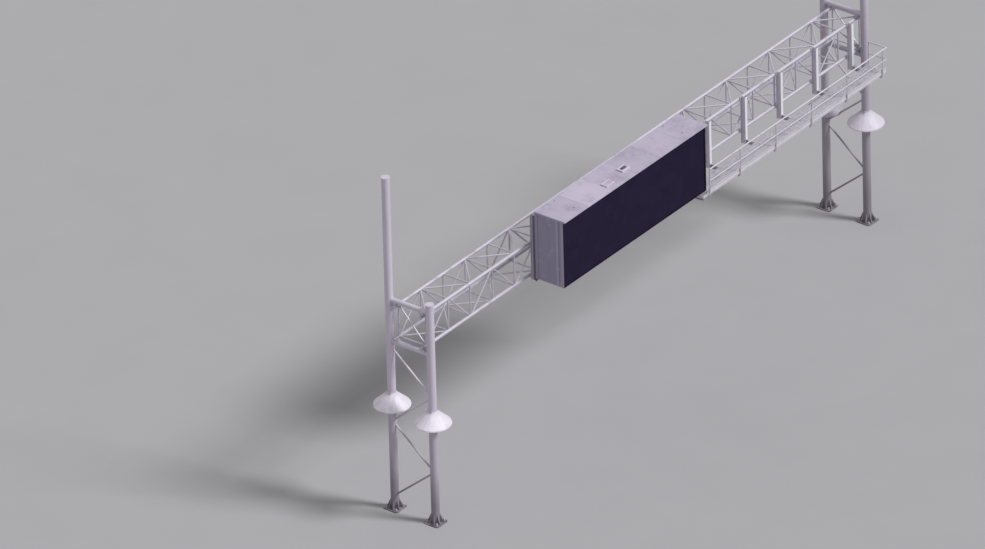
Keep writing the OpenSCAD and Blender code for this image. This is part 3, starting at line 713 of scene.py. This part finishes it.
saddle_clamp = joined(
    repeated(u_bolt(U_BOLT_Y, U_BOLT_REACH, U_BOLT_R), [-U_BOLT_X * X, U_BOLT_X * X]),
    repeated(nut(*U_BOLT_NUT), [
        (x, y, U_BOLT_NUT_Z) for x in (-U_BOLT_X, U_BOLT_X) for y in (-U_BOLT_Y, U_BOLT_Y)
    ]),
    *[carried(
        [(-CLAMP_X, y, CLAMP_Z), (CLAMP_X, y, CLAMP_Z)], Y, flat(*CLAMP_FLAT)
    ) for y in (-CLAMP_Y, CLAMP_Y)],
)
crossings = np.array([(x, y, 0.0) for x in leg_xs for y in (front_y, rear_y)])
dress(leg_steel, "near_seat_beam", "near_top_beam", "far_seat_beam", "far_top_beam")
piece("beam_welds", beam_beads, leg_steel, "leg_steel")
piece("saddle_clamps", joined(
    repeated(saddle_clamp, crossings + bottom_z * Z),
    repeated(saddle_clamp, crossings + top_z * Z, np.diag([1.0, -1.0, -1.0])),
), bolt_zinc, "galvanised_steel")


# Chords
# Four long tubes, closed by welded discs and made up from lengths with girth welds. Hot-dip
# galvanised, with the pale crystals and soft dark clouds of weathered zinc.
CHORD_GIRTH_X, CHORD_BEAD = 5.15, 0.0035


def galvanised(name, light, dark, grime):
    """Weathered zinc: crystals and clouds between light and dark, grime in the clouds' deepest
    parts, and a little rust."""
    finish = Finish(name)
    cloud = finish.noise(5.0, detail=6.0)
    crystal = finish.cells(64.0)
    dirt = finish.smooth(finish.noise(2.3, detail=6.0, shift=7.0), 0.52, 0.74)
    rust = finish.smooth(finish.noise(15.0, detail=5.0, shift=11.0), 0.71, 0.80)
    tone = finish.blend(
        0.75 * cloud + 0.25 * crystal, light, dark,
        (0.6 * dirt, grime), (0.5 * rust, (0.28, 0.18, 0.13)),
    )
    relief = 0.6 * finish.noise(110.0) + 0.4 * crystal
    return finish.end(tone, 0.36 + 0.20 * cloud + 0.16 * dirt, relief, 0.0005, metallic=0.3)


truss_steel = galvanised("truss_steel", (0.66, 0.63, 0.72), (0.44, 0.41, 0.48), (0.28, 0.26, 0.30))
dress(truss_steel, *[name + "_chord" for name in chords], "chord_end_caps")
piece("chord_welds", girths([
    (x, y, z) for x in (-chord_end, -CHORD_GIRTH_X, CHORD_GIRTH_X, chord_end)
    for y, z in chords.values()
], CHORD_R - 0.0005, CHORD_BEAD, 32, along_x=True), truss_steel, "galvanised_steel")


# Lacing and end frames
# Round bars between the chords on all four faces: a strut at each panel point and a diagonal in
# each panel, turned the other way from one to the next. Mouths cut to the chords and welded.
LACE_R, LACE_GAP, LACE_BEAD, PANELS_ALONG = 0.027, 0.015, 0.0045, 20
FACES = {
    "front_lacing": ("front_bottom", "front_top"),
    "rear_lacing": ("rear_bottom", "rear_top"),
    "top_lacing": ("front_top", "rear_top"),
    "bottom_lacing": ("rear_bottom", "front_bottom"),
}
FRAME_DIAGONAL = ("front_bottom", "rear_top")

panel_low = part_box("near_end_frame")[0].x + LACE_R
panel_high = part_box("far_end_frame")[1].x - LACE_R
panel_x = np.linspace(panel_low, panel_high, PANELS_ALONG + 1)
panel = panel_x[1] - panel_x[0]


def face_bars(start, end):
    """Both ends of each bar in one face. start and end are the (y, z) of its two chords. A
    diagonal's axis meets a chord's axis lace_r + gap + lace_r / sin s - chord_r / tan s from the
    panel point, where s is its slope, so that the bars stay apart on the chord."""
    width = math.dist(start, end)
    slope = math.atan2(width, panel)
    shift = LACE_R + LACE_GAP + LACE_R / math.sin(slope) - CHORD_R / math.tan(slope)
    rising = (-1.0) ** np.arange(PANELS_ALONG)
    middle, half = (panel_x[1:] + panel_x[:-1]) / 2, panel / 2 - shift
    low = np.concatenate([panel_x[1:-1], middle - rising * half])
    high = np.concatenate([panel_x[1:-1], middle + rising * half])
    return [(x, *start) for x in low], [(x, *end) for x in high]


def welded_bars(name, starts, ends):
    """The bars and beads of one face, which stand for its node."""
    bars = joined(*tubes(starts, ends, LACE_R, X, CHORD_R, LACE_BEAD))
    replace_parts(piece(name + "_bars", bars, truss_steel, "galvanised_steel"), name)


for name, (start, end) in FACES.items():
    welded_bars(name, *face_bars(chords[start], chords[end]))
for name, x in (("near_end_frame", panel_low), ("far_end_frame", panel_high)):
    welded_bars(name, *[
        [(x, *chords[chord]) for chord in ends] for ends in zip(*FACES.values(), FRAME_DIAGONAL)
    ])


# Hangers
# Upright I beams along the front of the truss, five behind the sign and five along the
# catwalk. Each is bolted by four bolts to a seat that is welded to each front chord.
SEAT_BACK, SEAT_REACH, FLANGE_T, FLANGE_HALF = 0.07415, 0.033, 0.010, 0.055
SEAT_BOLT_X, SEAT_BOLT_Z, SEAT_BEAD_X, SEAT_BEAD_Z = 0.031, 0.040, 0.053, 0.0475
SEAT_BEAD, SEAT_BEAD_STEPS = 0.0045, 24

low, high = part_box("sign_hangers")
hanger_face, hanger_back = low.y, high.y
sign_xs = np.linspace(low.x + FLANGE_HALF, high.x - FLANGE_HALF, 5)
low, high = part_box("catwalk_hangers")
walk_xs = np.linspace(low.x + FLANGE_HALF, high.x - FLANGE_HALF, 5)
seat_xs, seat_zs = (*sign_xs, *walk_xs), (bottom_z, top_z)
seat_heads = joined(washer(0.017, 0.003), repeated(nut(0.024, 0.010), 0.003 * Z))
seat_bolts = [
    (x + dx, front_y - SEAT_BACK - FLANGE_T, z + dz)
    for x in seat_xs for dx in (-SEAT_BOLT_X, SEAT_BOLT_X)
    for z in seat_zs for dz in (-SEAT_BOLT_Z, SEAT_BOLT_Z)
]
seat_bead = carried(
    np.linspace(-SEAT_BEAD_X * X, SEAT_BEAD_X * X, SEAT_BEAD_STEPS), Z, SEAT_BEAD * circle(6),
    1 + RIPPLE * (-1.0) ** np.arange(SEAT_BEAD_STEPS),
)
hanger = Finish("hanger_steel")
hanger_cloud = hanger.noise(6.0, z_scale=0.25, detail=6.0)
hanger_y = hanger.axis("Y")
hanger_open = hanger.smooth(hanger.axis("X"), 0.5, 1.0)
# Painted shade: on the hangers behind the cabinet, the part next to the cabinet's back is painted
# near-black, where the cabinet shades it.
hanger_painted_shade = hanger.smooth(
    hanger_y + 0.03 * hanger_cloud, hanger_back - 0.06, hanger_back - 0.12
)
# Painted highlight: on the catwalk hangers, the front face of each front flange, which faces the
# lamp, is painted paler still.
hanger_painted_highlight = hanger.smooth(hanger_y, hanger_face + 0.014, hanger_face + 0.009)
hanger_tone = hanger.blend(
    hanger_cloud, (0.66, 0.63, 0.72), (0.40, 0.37, 0.45),
    (hanger_open * (0.4 + 0.45 * hanger_painted_highlight), (0.88, 0.86, 0.92)),
    (0.9 * (1.0 - hanger_open) * hanger_painted_shade, (0.085, 0.075, 0.105)),
)
hanger_steel = hanger.end(
    hanger_tone, 0.46 + 0.25 * hanger_cloud, hanger.noise(110.0), 0.0005, metallic=0.2
)
dress(hanger_steel, "sign_hangers", "catwalk_hangers")
seat_heads = repeated(seat_heads, seat_bolts, facing(-Y))
piece("seat_bolts", seat_heads, bolt_zinc, "galvanised_steel")
piece("seat_welds", repeated(seat_bead, [
    (x, front_y - SEAT_REACH, z + dz)
    for x in seat_xs for z in seat_zs for dz in (-SEAT_BEAD_Z, SEAT_BEAD_Z)
]), truss_steel, "galvanised_steel")


# Catwalk brackets
# Tapered plate brackets under the catwalk, each bolted through its root plate to a hanger's
# flange, and through its top flange to the channels that it carries.
BRACKET_T, ROOT_T, CHANNEL_T, CHANNEL_MID = 0.009, 0.012, 0.006, 0.024
ROOT_BOLT_X, ROOT_BOLT_DROPS, CHANNEL_BOLT_X = 0.037, (0.032, 0.148), 0.028

low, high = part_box("catwalk_brackets")
bracket_top, walk_front_y = high.z, low.y
bracket_xs = (sign_xs[-1], *walk_xs)
walk_rear_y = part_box("catwalk_stringers")[1].y
channel_ys = (
    walk_rear_y - CHANNEL_MID, (walk_rear_y + walk_front_y) / 2 - 0.003, walk_front_y + CHANNEL_MID
)
root_bolts = [
    (x + dx, hanger_face, bracket_top - drop)
    for x in bracket_xs for dx in (-ROOT_BOLT_X, ROOT_BOLT_X) for drop in ROOT_BOLT_DROPS
]
channel_bolts = [
    (x + dx, y, bracket_top)
    for x in bracket_xs for dx in (-CHANNEL_BOLT_X, CHANNEL_BOLT_X) for y in channel_ys
]
dress(truss_steel, "catwalk_brackets")
piece("bracket_bolts", joined(
    repeated(bolt(0.007, -FLANGE_T, ROOT_T), root_bolts, facing(-Y)),
    repeated(bolt(0.006, -BRACKET_T, CHANNEL_T), channel_bolts),
), bolt_zinc, "galvanised_steel")


# Catwalk floor
# Three channels along the catwalk carry five panels of pressed steel grating: upright flat bars
# across it, shallow flats let into their tops the other way, and a band along each edge.
PANELS, PANEL_JOINT, BAR_T, BARS = 5, 0.010, 0.004, 57
FLAT_T, FLAT_H, FLATS, SLACK = 0.003, 0.014, 25, 0.001
SPLICE_HALF, SPLICE_T, SPLICE_XS, SPLICE_Z = 0.08, 0.004, (-0.055, -0.02, 0.02, 0.055), 0.018

low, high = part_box("catwalk_grating")
panel_length = (high.x - low.x - (PANELS - 1) * PANEL_JOINT) / PANELS
panel_starts = low.x + (panel_length + PANEL_JOINT) * np.arange(PANELS)
floor_z, grate_h, grate_mid = high.z, high.z - low.z, (low.z + high.z) / 2


def plain_flat(width, height):
    """Section of a thin flat bar with square edges."""
    a, b = width / 2, height / 2
    return [(-a, -b), (a, -b), (a, b), (-a, b)]


bearing_bar = carried(
    [(0, low.y + BAR_T, grate_mid), (0, high.y - BAR_T, grate_mid)], X,
    plain_flat(BAR_T, grate_h - SLACK),
)
edge_band = carried(
    [(0, 0, grate_mid), (panel_length, 0, grate_mid)], Y, plain_flat(BAR_T, grate_h)
)
flat_z = floor_z - SLACK - FLAT_H / 2
cross_flat = carried(
    [(SLACK, 0, flat_z), (panel_length - SLACK, 0, flat_z)], Y, plain_flat(FLAT_T, FLAT_H)
)
bar_steps = np.linspace(BAR_T / 2, panel_length - BAR_T / 2, BARS)
band_ys = (low.y + BAR_T / 2, high.y - BAR_T / 2)
flat_ys = np.linspace(low.y, high.y, FLATS + 2)[1:-1]
walk_metal = galvanised(
    "walkway_metal", (0.70, 0.68, 0.74), (0.52, 0.50, 0.56), (0.34, 0.32, 0.36)
)
grating_metal = galvanised(
    "grating_metal", (0.88, 0.86, 0.91), (0.72, 0.70, 0.76), (0.48, 0.46, 0.50)
)
dress(walk_metal, "catwalk_stringers", "catwalk_toe_board", "catwalk_handrail", "catwalk_end_rail")
grating = piece("fine_grating", joined(
    repeated(bearing_bar, [(x + step, 0, 0) for x in panel_starts for step in bar_steps]),
    repeated(edge_band, [(x, y, 0) for x in panel_starts for y in band_ys]),
    repeated(cross_flat, [(x, y, 0) for x in panel_starts for y in flat_ys]),
), grating_metal, "walkway_metal")
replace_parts(grating, "catwalk_grating")

low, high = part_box("catwalk_toe_board")
toe_y, toe_z = (low.y + high.y) / 2, (low.z + high.z) / 2
splice_heads = [(x, -SPLICE_T, z) for x in SPLICE_XS for z in (-SPLICE_Z, SPLICE_Z)]
splice = joined(
    carried([-SPLICE_HALF * X, SPLICE_HALF * X], Z, flat(0.066, 0.0, SPLICE_T)),
    repeated(rivet(0.007), splice_heads, facing(-Y)),
)
piece("toe_board_fittings", joined(
    carried(
        [(low.x + 0.002, toe_y, high.z), (high.x - 0.002, toe_y, high.z)], Y, 0.0055 * circle(10)
    ),
    repeated(splice, [(x - PANEL_JOINT / 2, low.y, toe_z) for x in panel_starts[1:]]),
), walk_metal, "walkway_metal")


# Handrail
# Tube posts welded to foot plates, which are bolted to the front channel, with a top rail and
# a middle rail. Sleeves join the lengths of the top rail.
POST_R, RAIL_R, MID_R, RAIL_BEAD = 0.021, 0.024, 0.017, 0.0035
FOOT_OUT, FOOT_BOLT_X, FOOT_BOLT_ZS = 0.022, 0.036, (0.018, 0.058)
SLEEVE_HALF, SLEEVE_XS = 0.07, (4.21, 8.07)
REAR_FOOT_R, REAR_FOOT_T, REAR_BOLT_OUT = 0.042, 0.010, 0.031

low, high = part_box("catwalk_handrail")
rail_y, rail_z = low.y + RAIL_R, high.z - RAIL_R
mid_z = (floor_z + rail_z) / 2
post_xs = [low.x, *walk_xs]
low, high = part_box("catwalk_end_rail")
rear_foot = np.array([(low.x + high.x) / 2, high.y - POST_R, floor_z])
foot_bolts = [
    (x + dx, walk_front_y - FOOT_OUT, bracket_top + z)
    for x in post_xs for dx in (-FOOT_BOLT_X, FOOT_BOLT_X) for z in FOOT_BOLT_ZS
]
rail_tops = [(x, rail_y, rail_z) for x in post_xs]
rail_mids = [(x, rail_y, mid_z) for x in post_xs]
sleeve = carried([-SLEEVE_HALF * X, SLEEVE_HALF * X], Y, (RAIL_R + 0.0025) * circle(24))
piece("handrail_fittings", joined(
    rings(*mouths(rail_tops, [-Z], POST_R, X, RAIL_R + 0.001), RAIL_BEAD),
    rings(*mouths(rail_mids[1:], [-X], MID_R, Z, POST_R), RAIL_BEAD),
    rings(*mouths(rail_mids, [X], MID_R, Z, POST_R), RAIL_BEAD),
    repeated(sleeve, [(x, rail_y, rail_z) for x in SLEEVE_XS]),
    repeated(washer(REAR_FOOT_R, REAR_FOOT_T, 28), rear_foot),
    girths([rear_foot + REAR_FOOT_T * Z], POST_R, 0.004, 24),
), walk_metal, "walkway_metal")
rear_bolts = [rear_foot + REAR_BOLT_OUT * away for away in (X, -X, Y, -Y)]
piece("handrail_bolts", joined(
    repeated(bolt(0.006, -FOOT_OUT - CHANNEL_T, 0.0), foot_bolts, facing(-Y)),
    repeated(bolt(0.004, -0.012, 0.010, 0.004), rear_bolts),
), bolt_zinc, "walkway_metal")


# Sign cabinet walls
# Sheet walls on a hidden frame: painted a satin grey, streaked by rain, with paler cover strips
# over the upright ribs and louvred vents at the back.
ROOF_SKIRT, STRIP_MID, RIB_MID, RIB_OUT = 0.055, 0.055, 0.245, 0.014
STRIP_T, BACK_STRIP_T, BACK_SEAM_SHIFT = 0.002, 0.003, 0.12
LOUVRE_HALF, LOUVRE_HOOD, LOUVRE_SHIFT = 0.22, (0.018, 0.014), 0.42
LOUVRE_LOW, LOUVRE_PITCH, LOUVRES = 0.35, 0.055, 8

low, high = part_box("sign_face_frame")
cab_x0, cab_x1, cab_front = low.x, high.x, low.y
roof_low, roof_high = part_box("sign_roof")
cab_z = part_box("sign_floor")[0].z
cab_back, cab_top = roof_high.y, roof_high.z


def painted(name, light, dark, chalk):
    """Satin paint: broad weathering and rain streaks from light to dark, and chalky patches."""
    finish = Finish(name)
    cloud = finish.noise(1.7, z_scale=0.12, detail=6.0)
    streak = finish.noise(9.0, z_scale=0.12, detail=5.0, shift=4.0)
    patch = finish.smooth(finish.noise(3.1, detail=6.0, shift=9.0), 0.55, 0.72)
    tone = finish.blend(0.6 * cloud + 0.4 * streak, light, dark, (0.5 * patch, chalk))
    relief = 0.5 * finish.noise(240.0, detail=2.0) + 0.5 * cloud
    return finish.end(tone, 0.42 + 0.2 * cloud, relief, 0.0006)


wall_paint = painted(
    "cabinet_wall_paint", (0.375, 0.34, 0.46), (0.25, 0.225, 0.32), (0.46, 0.42, 0.54)
)
strip_paint = painted(
    "cover_strip_paint", (0.46, 0.42, 0.55), (0.31, 0.28, 0.38), (0.54, 0.50, 0.62)
)
dress(wall_paint, "sign_near_end_wall", "sign_far_end_wall", "sign_back_wall", "sign_floor")
dress(wall_paint, "sign_access_door")


def cover_strip(x, y, face, width):
    """Upright cover strip with its rivets on an end wall that looks along face, 1 or -1."""
    low, high = cab_z + 0.004, cab_top - ROOF_SKIRT - 0.008
    levels = np.linspace(low + 0.06, high - 0.06, 13)
    return joined(
        carried([(x, y, low), (x, y, high)], -face * Y, flat(width, 0.0, STRIP_T)),
        repeated(rivet(0.006), [(x + STRIP_T * face, y, z) for z in levels], facing(face * X)),
    )


piece("end_cover_strips", joined(
    cover_strip(cab_x0, cab_front + STRIP_MID, -1, 0.104),
    cover_strip(cab_x0 - RIB_OUT, cab_front + RIB_MID, -1, 0.100),
    cover_strip(cab_x1, cab_front + STRIP_MID, 1, 0.080),
), strip_paint, "cabinet_walls")

back_seams = np.linspace(cab_x0, cab_x1, 7)[1:-1] + BACK_SEAM_SHIFT
back_levels = np.linspace(cab_z + 0.1, cab_top - 0.1, 16)
back_rivets = [(x, BACK_STRIP_T, z) for x in (-0.018, 0.018) for z in back_levels]
back_strip = joined(
    carried([(cab_z + 0.03) * Z, (cab_top - 0.03) * Z], X, flat(0.06, 0.0, BACK_STRIP_T)),
    repeated(rivet(0.006), back_rivets, facing(Y)),
)
hood_section = arc(7) * LOUVRE_HOOD - (0, 0.001)
louvre = carried([-LOUVRE_HALF * X, LOUVRE_HALF * X], -Z, hood_section)
louvre_places = [
    (x, cab_back, cab_z + LOUVRE_LOW + LOUVRE_PITCH * k)
    for x in (sign_xs[1:] + sign_xs[:-1]) / 2 + LOUVRE_SHIFT for k in range(LOUVRES)
]
piece("back_wall_fittings", joined(
    repeated(back_strip, [(x, cab_back, 0) for x in back_seams]),
    repeated(louvre, louvre_places),
), wall_paint, "cabinet_walls")


# Access door
# A flush door in the far end wall on three butt hinges, with a lever handle, a lock rose and a
# drip strip above it.
DOOR_FACE, HINGE_HALF, HINGE_INSET, HANDLE_INSET, LOCK_DROP = 0.005, 0.05, 0.25, 0.075, 0.085
LEVER_R, LEVER_OUT, LEVER_BEND, LEVER_LENGTH = 0.008, 0.035, 0.012, 0.125

low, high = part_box("sign_access_door")
hinge_levels = np.linspace(low.z + HINGE_INSET, high.z - HINGE_INSET, 3)
hinge = joined(
    carried([(0.007, 0, -HINGE_HALF), (0.007, 0, HINGE_HALF)], Y, 0.008 * circle(12)),
    carried([-0.03 * Y, 0.03 * Y], Z, flat(0.09, -0.0005, 0.003)),
)
handle = np.array([high.x, low.y + HANDLE_INSET, (low.z + high.z) / 2])
turn = np.linspace(0.0, np.pi / 2, 6)
lever_bend = np.stack([
    LEVER_OUT + LEVER_BEND * np.sin(turn), LEVER_BEND * (1 - np.cos(turn)), 0 * turn
], axis=-1)
lever_end = (LEVER_OUT + LEVER_BEND, LEVER_LENGTH, 0)
lever = carried([0 * X, *lever_bend, lever_end], Z, LEVER_R * circle(10))
drip_x, drip_z = high.x - DOOR_FACE + 0.012, high.z + 0.03
piece("door_fittings", joined(
    repeated(hinge, [(high.x, high.y, z) for z in hinge_levels]),
    repeated(lever, handle),
    repeated(washer(0.026, 0.006, 24), [handle, handle - LOCK_DROP * Z], facing(X)),
    carried(
        [(drip_x, low.y - 0.03, drip_z), (drip_x, high.y + 0.03, drip_z)], Z,
        flat(0.012, -0.012, 0.012, 0.003),
    ),
), bolt_zinc, "cabinet_walls")


# Sign roof
# Six sheets across the cabinet under flat lap seams with rivets, the edges turned down. Painted,
# chalky and stained, each sheet weathered its own way. Four lifting eyes, and two low zinc
# curbs, one under a plain cover and one under a black vent cowl.
SHEETS, LONG_SEAM, LAP_T = 6, 0.250, 0.002
CURB_LENGTH, CURB_WIDTH, CURB_H, CURB_T, COVER_H = 0.40, 0.25, 0.050, 0.032, 0.042
COWL_X, COWL_Y, PLAIN_X, PLAIN_Y = -2.30, 0.42, -3.35, 0.25
EYE_INSET, EYE_R, EYE_FOOT = 0.9, 0.026, 0.021

sheet_length = (roof_high.x - roof_low.x) / SHEETS
sheet_joints = roof_low.x + sheet_length * np.arange(1, SHEETS)
roof = Finish("roof_paint")
roof_x = roof.axis("X") - roof_low.x
sheet_tone = roof.steps(roof_x / sheet_length, 3.0)
roof_cloud = roof.noise(1.3, detail=7.0)
roof_spot = roof.noise(7.0, detail=6.0, shift=6.0)
roof_stain = roof.smooth(0.6 * roof_cloud + 0.4 * roof_spot, 0.47, 0.66)
seam_stain = roof.near(roof_x / sheet_length, 0.05)
roof_tone = roof.blend(
    0.45 * sheet_tone + 0.55 * roof_cloud, (0.60, 0.54, 0.68), (0.40, 0.355, 0.47),
    (0.45 * roof_stain, (0.30, 0.265, 0.35)), (0.10 * seam_stain, (0.30, 0.27, 0.35)),
)
roof_relief = 0.7 * roof_cloud + 0.3 * roof_spot
roof_paint = roof.end(roof_tone, 0.50 + 0.25 * roof_cloud, roof_relief, 0.004)
dress(roof_paint, "sign_roof")

lap_ys = np.linspace(0.05, 1.14, 10) + roof_low.y
lap = joined(
    carried([(0, roof_low.y + 0.002, 0), (0, cab_back, 0)], -X, flat(0.056, -0.001, LAP_T)),
    repeated(rivet(0.005), [(x, y, LAP_T) for x in (-0.015, 0.015) for y in lap_ys]),
)
skirt_xs = np.linspace(roof_low.x + 0.06, roof_high.x - 0.06, 51)
skirt_ys = np.linspace(roof_low.y + 0.06, cab_back - 0.06, 9)
skirt_z = cab_top - ROOF_SKIRT / 2
eye = joined(
    u_bolt(EYE_R, 0.022, 0.007),
    carried([(-0.05, 0, -EYE_FOOT), (0.05, 0, -EYE_FOOT)], Y, flat(0.09, -0.003, 0.003)),
)
cowl_y = cab_front + COWL_Y
curb_places = [(COWL_X, cowl_y, cab_top), (PLAIN_X, cab_front + PLAIN_Y, cab_top)]
curb_x, curb_y = (CURB_LENGTH - CURB_T) / 2, (CURB_WIDTH - CURB_T) / 2
curb_bar = flat(CURB_T, 0.0, CURB_H, 0.003)
curb = joined(*[
    carried([(-CURB_LENGTH / 2, y, 0), (CURB_LENGTH / 2, y, 0)], Y, curb_bar)
    for y in (-curb_y, curb_y)
], *[
    carried([(x, CURB_T / 2 - curb_y, 0), (x, curb_y - CURB_T / 2, 0)], -X, curb_bar)
    for x in (-curb_x, curb_x)
])
curb_cover = carried(
    [(CURB_T / 2 - curb_x) * X, (curb_x - CURB_T / 2) * X], Y,
    flat(CURB_WIDTH - 2 * CURB_T, 0.0, COVER_H),
)
long_seam_y = cab_back - LONG_SEAM
piece("roof_fittings", joined(
    repeated(lap, [(x, 0, cab_top) for x in sheet_joints]),
    carried(
        [(roof_low.x + 0.002, long_seam_y, cab_top), (sheet_joints[0], long_seam_y, cab_top)], Y,
        flat(0.04, 0.0, 0.003),
    ),
    repeated(rivet(0.006), [(x, roof_low.y, skirt_z) for x in skirt_xs], facing(-Y)),
    repeated(rivet(0.006), [(roof_low.x, y, skirt_z) for y in skirt_ys], facing(-X)),
    repeated(rivet(0.006), [(roof_high.x, y, skirt_z) for y in skirt_ys], facing(X)),
    repeated(eye, [
        (x, y, cab_top + EYE_FOOT) for x in (cab_x0 + EYE_INSET, cab_x1 - EYE_INSET)
        for y in (cab_front + 0.22, cab_back - 0.13)
    ]),
    repeated(curb_cover, curb_places),
), roof_paint, "cabinet_roof")
curb_zinc = galvanised("curb_zinc", (0.76, 0.71, 0.82), (0.60, 0.56, 0.66), (0.42, 0.39, 0.46))
piece("roof_curbs", repeated(curb, curb_places), curb_zinc, "cabinet_roof")

cowl = Finish("cowl_plastic")
cowl_dust = cowl.noise(14.0, detail=5.0)
cowl_tone = cowl.blend(cowl_dust, (0.035, 0.032, 0.042), (0.11, 0.10, 0.12))
cowl_plastic = cowl.end(cowl_tone, 0.5 + 0.3 * cowl_dust, cowl.noise(120.0), 0.0005)
piece("roof_cowl", carried(
    [(COWL_X + dx, cowl_y, cab_top + COVER_H) for dx in (-0.11, -0.10, 0.10, 0.11)], Y,
    arc(9) * (0.055, 0.034) - (0, 0.002), (0.75, 1.0, 1.0, 0.75),
), cowl_plastic, "cabinet_roof")


# Display face
# A near-black aluminium frame round a matt black mask in square modules, each pierced by rows
# of pixels; the frame's screws are the same black.
MODULE, MODULE_JOINT, PIXEL, BORDER = 0.372, 0.014, 0.0186, 0.018

surround = Finish("face_frame_paint")
frame_dust = surround.noise(5.0, z_scale=0.3, detail=6.0)
face_paint = surround.end(
    surround.blend(frame_dust, (0.005, 0.004, 0.008), (0.014, 0.012, 0.020)),
    0.5 + 0.3 * frame_dust, surround.noise(200.0), 0.0003, specular=0.05,
)
dress(face_paint, "sign_face_frame")

display_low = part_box("sign_display")[0]
mask = Finish("display_mask")
mask_x, mask_z = mask.axis("X") - display_low.x, mask.axis("Z") - display_low.z
module_x, module_z = mask_x / MODULE, mask_z / MODULE
joint = mask.math(
    "MAXIMUM", mask.near(module_x, MODULE_JOINT), mask.near(module_z, MODULE_JOINT)
)
module_tone = mask.steps(mask.math("FLOOR", module_x) + 21.0 * mask.math("FLOOR", module_z))
off_x = mask.math("PINGPONG", mask_x / PIXEL, 0.5) - 0.5
off_z = mask.math("PINGPONG", mask_z / PIXEL, 0.5) - 0.5
pixel = mask.smooth(mask.math("SQRT", off_x * off_x + off_z * off_z), 0.30, 0.22)
mask_dust = mask.noise(1.1, z_scale=0.35, detail=7.0)
mask_tone = mask.blend(
    0.35 * module_tone + 0.65 * mask_dust, (0.009, 0.006, 0.020), (0.020, 0.014, 0.040),
    (0.5 * pixel, (0.030, 0.024, 0.050)), (0.7 * joint, (0.006, 0.005, 0.009)),
)
display_mask = mask.end(
    mask_tone, 0.62 + 0.25 * mask_dust, 0.5 * (1.0 - joint) + 0.5 * (1.0 - pixel), 0.002,
    specular=0.06,
)
dress(display_mask, "sign_display")

screw_xs = np.linspace(cab_x0 + 0.1, cab_x1 - 0.1, 26)
screw_zs = np.linspace(cab_z + 0.15, cab_top - 0.15, 8)
screw_rows = (cab_z + BORDER + 0.005, cab_top - 0.005 - BORDER)
screws = [(x, cab_front, z) for x in screw_xs for z in screw_rows]
screws += [(x, cab_front, z) for x in (cab_x0 + BORDER, cab_x1 - 0.03) for z in screw_zs]
screw_heads = repeated(rivet(0.007), screws, facing(-Y))
piece("face_frame_screws", screw_heads, face_paint, "display_face")
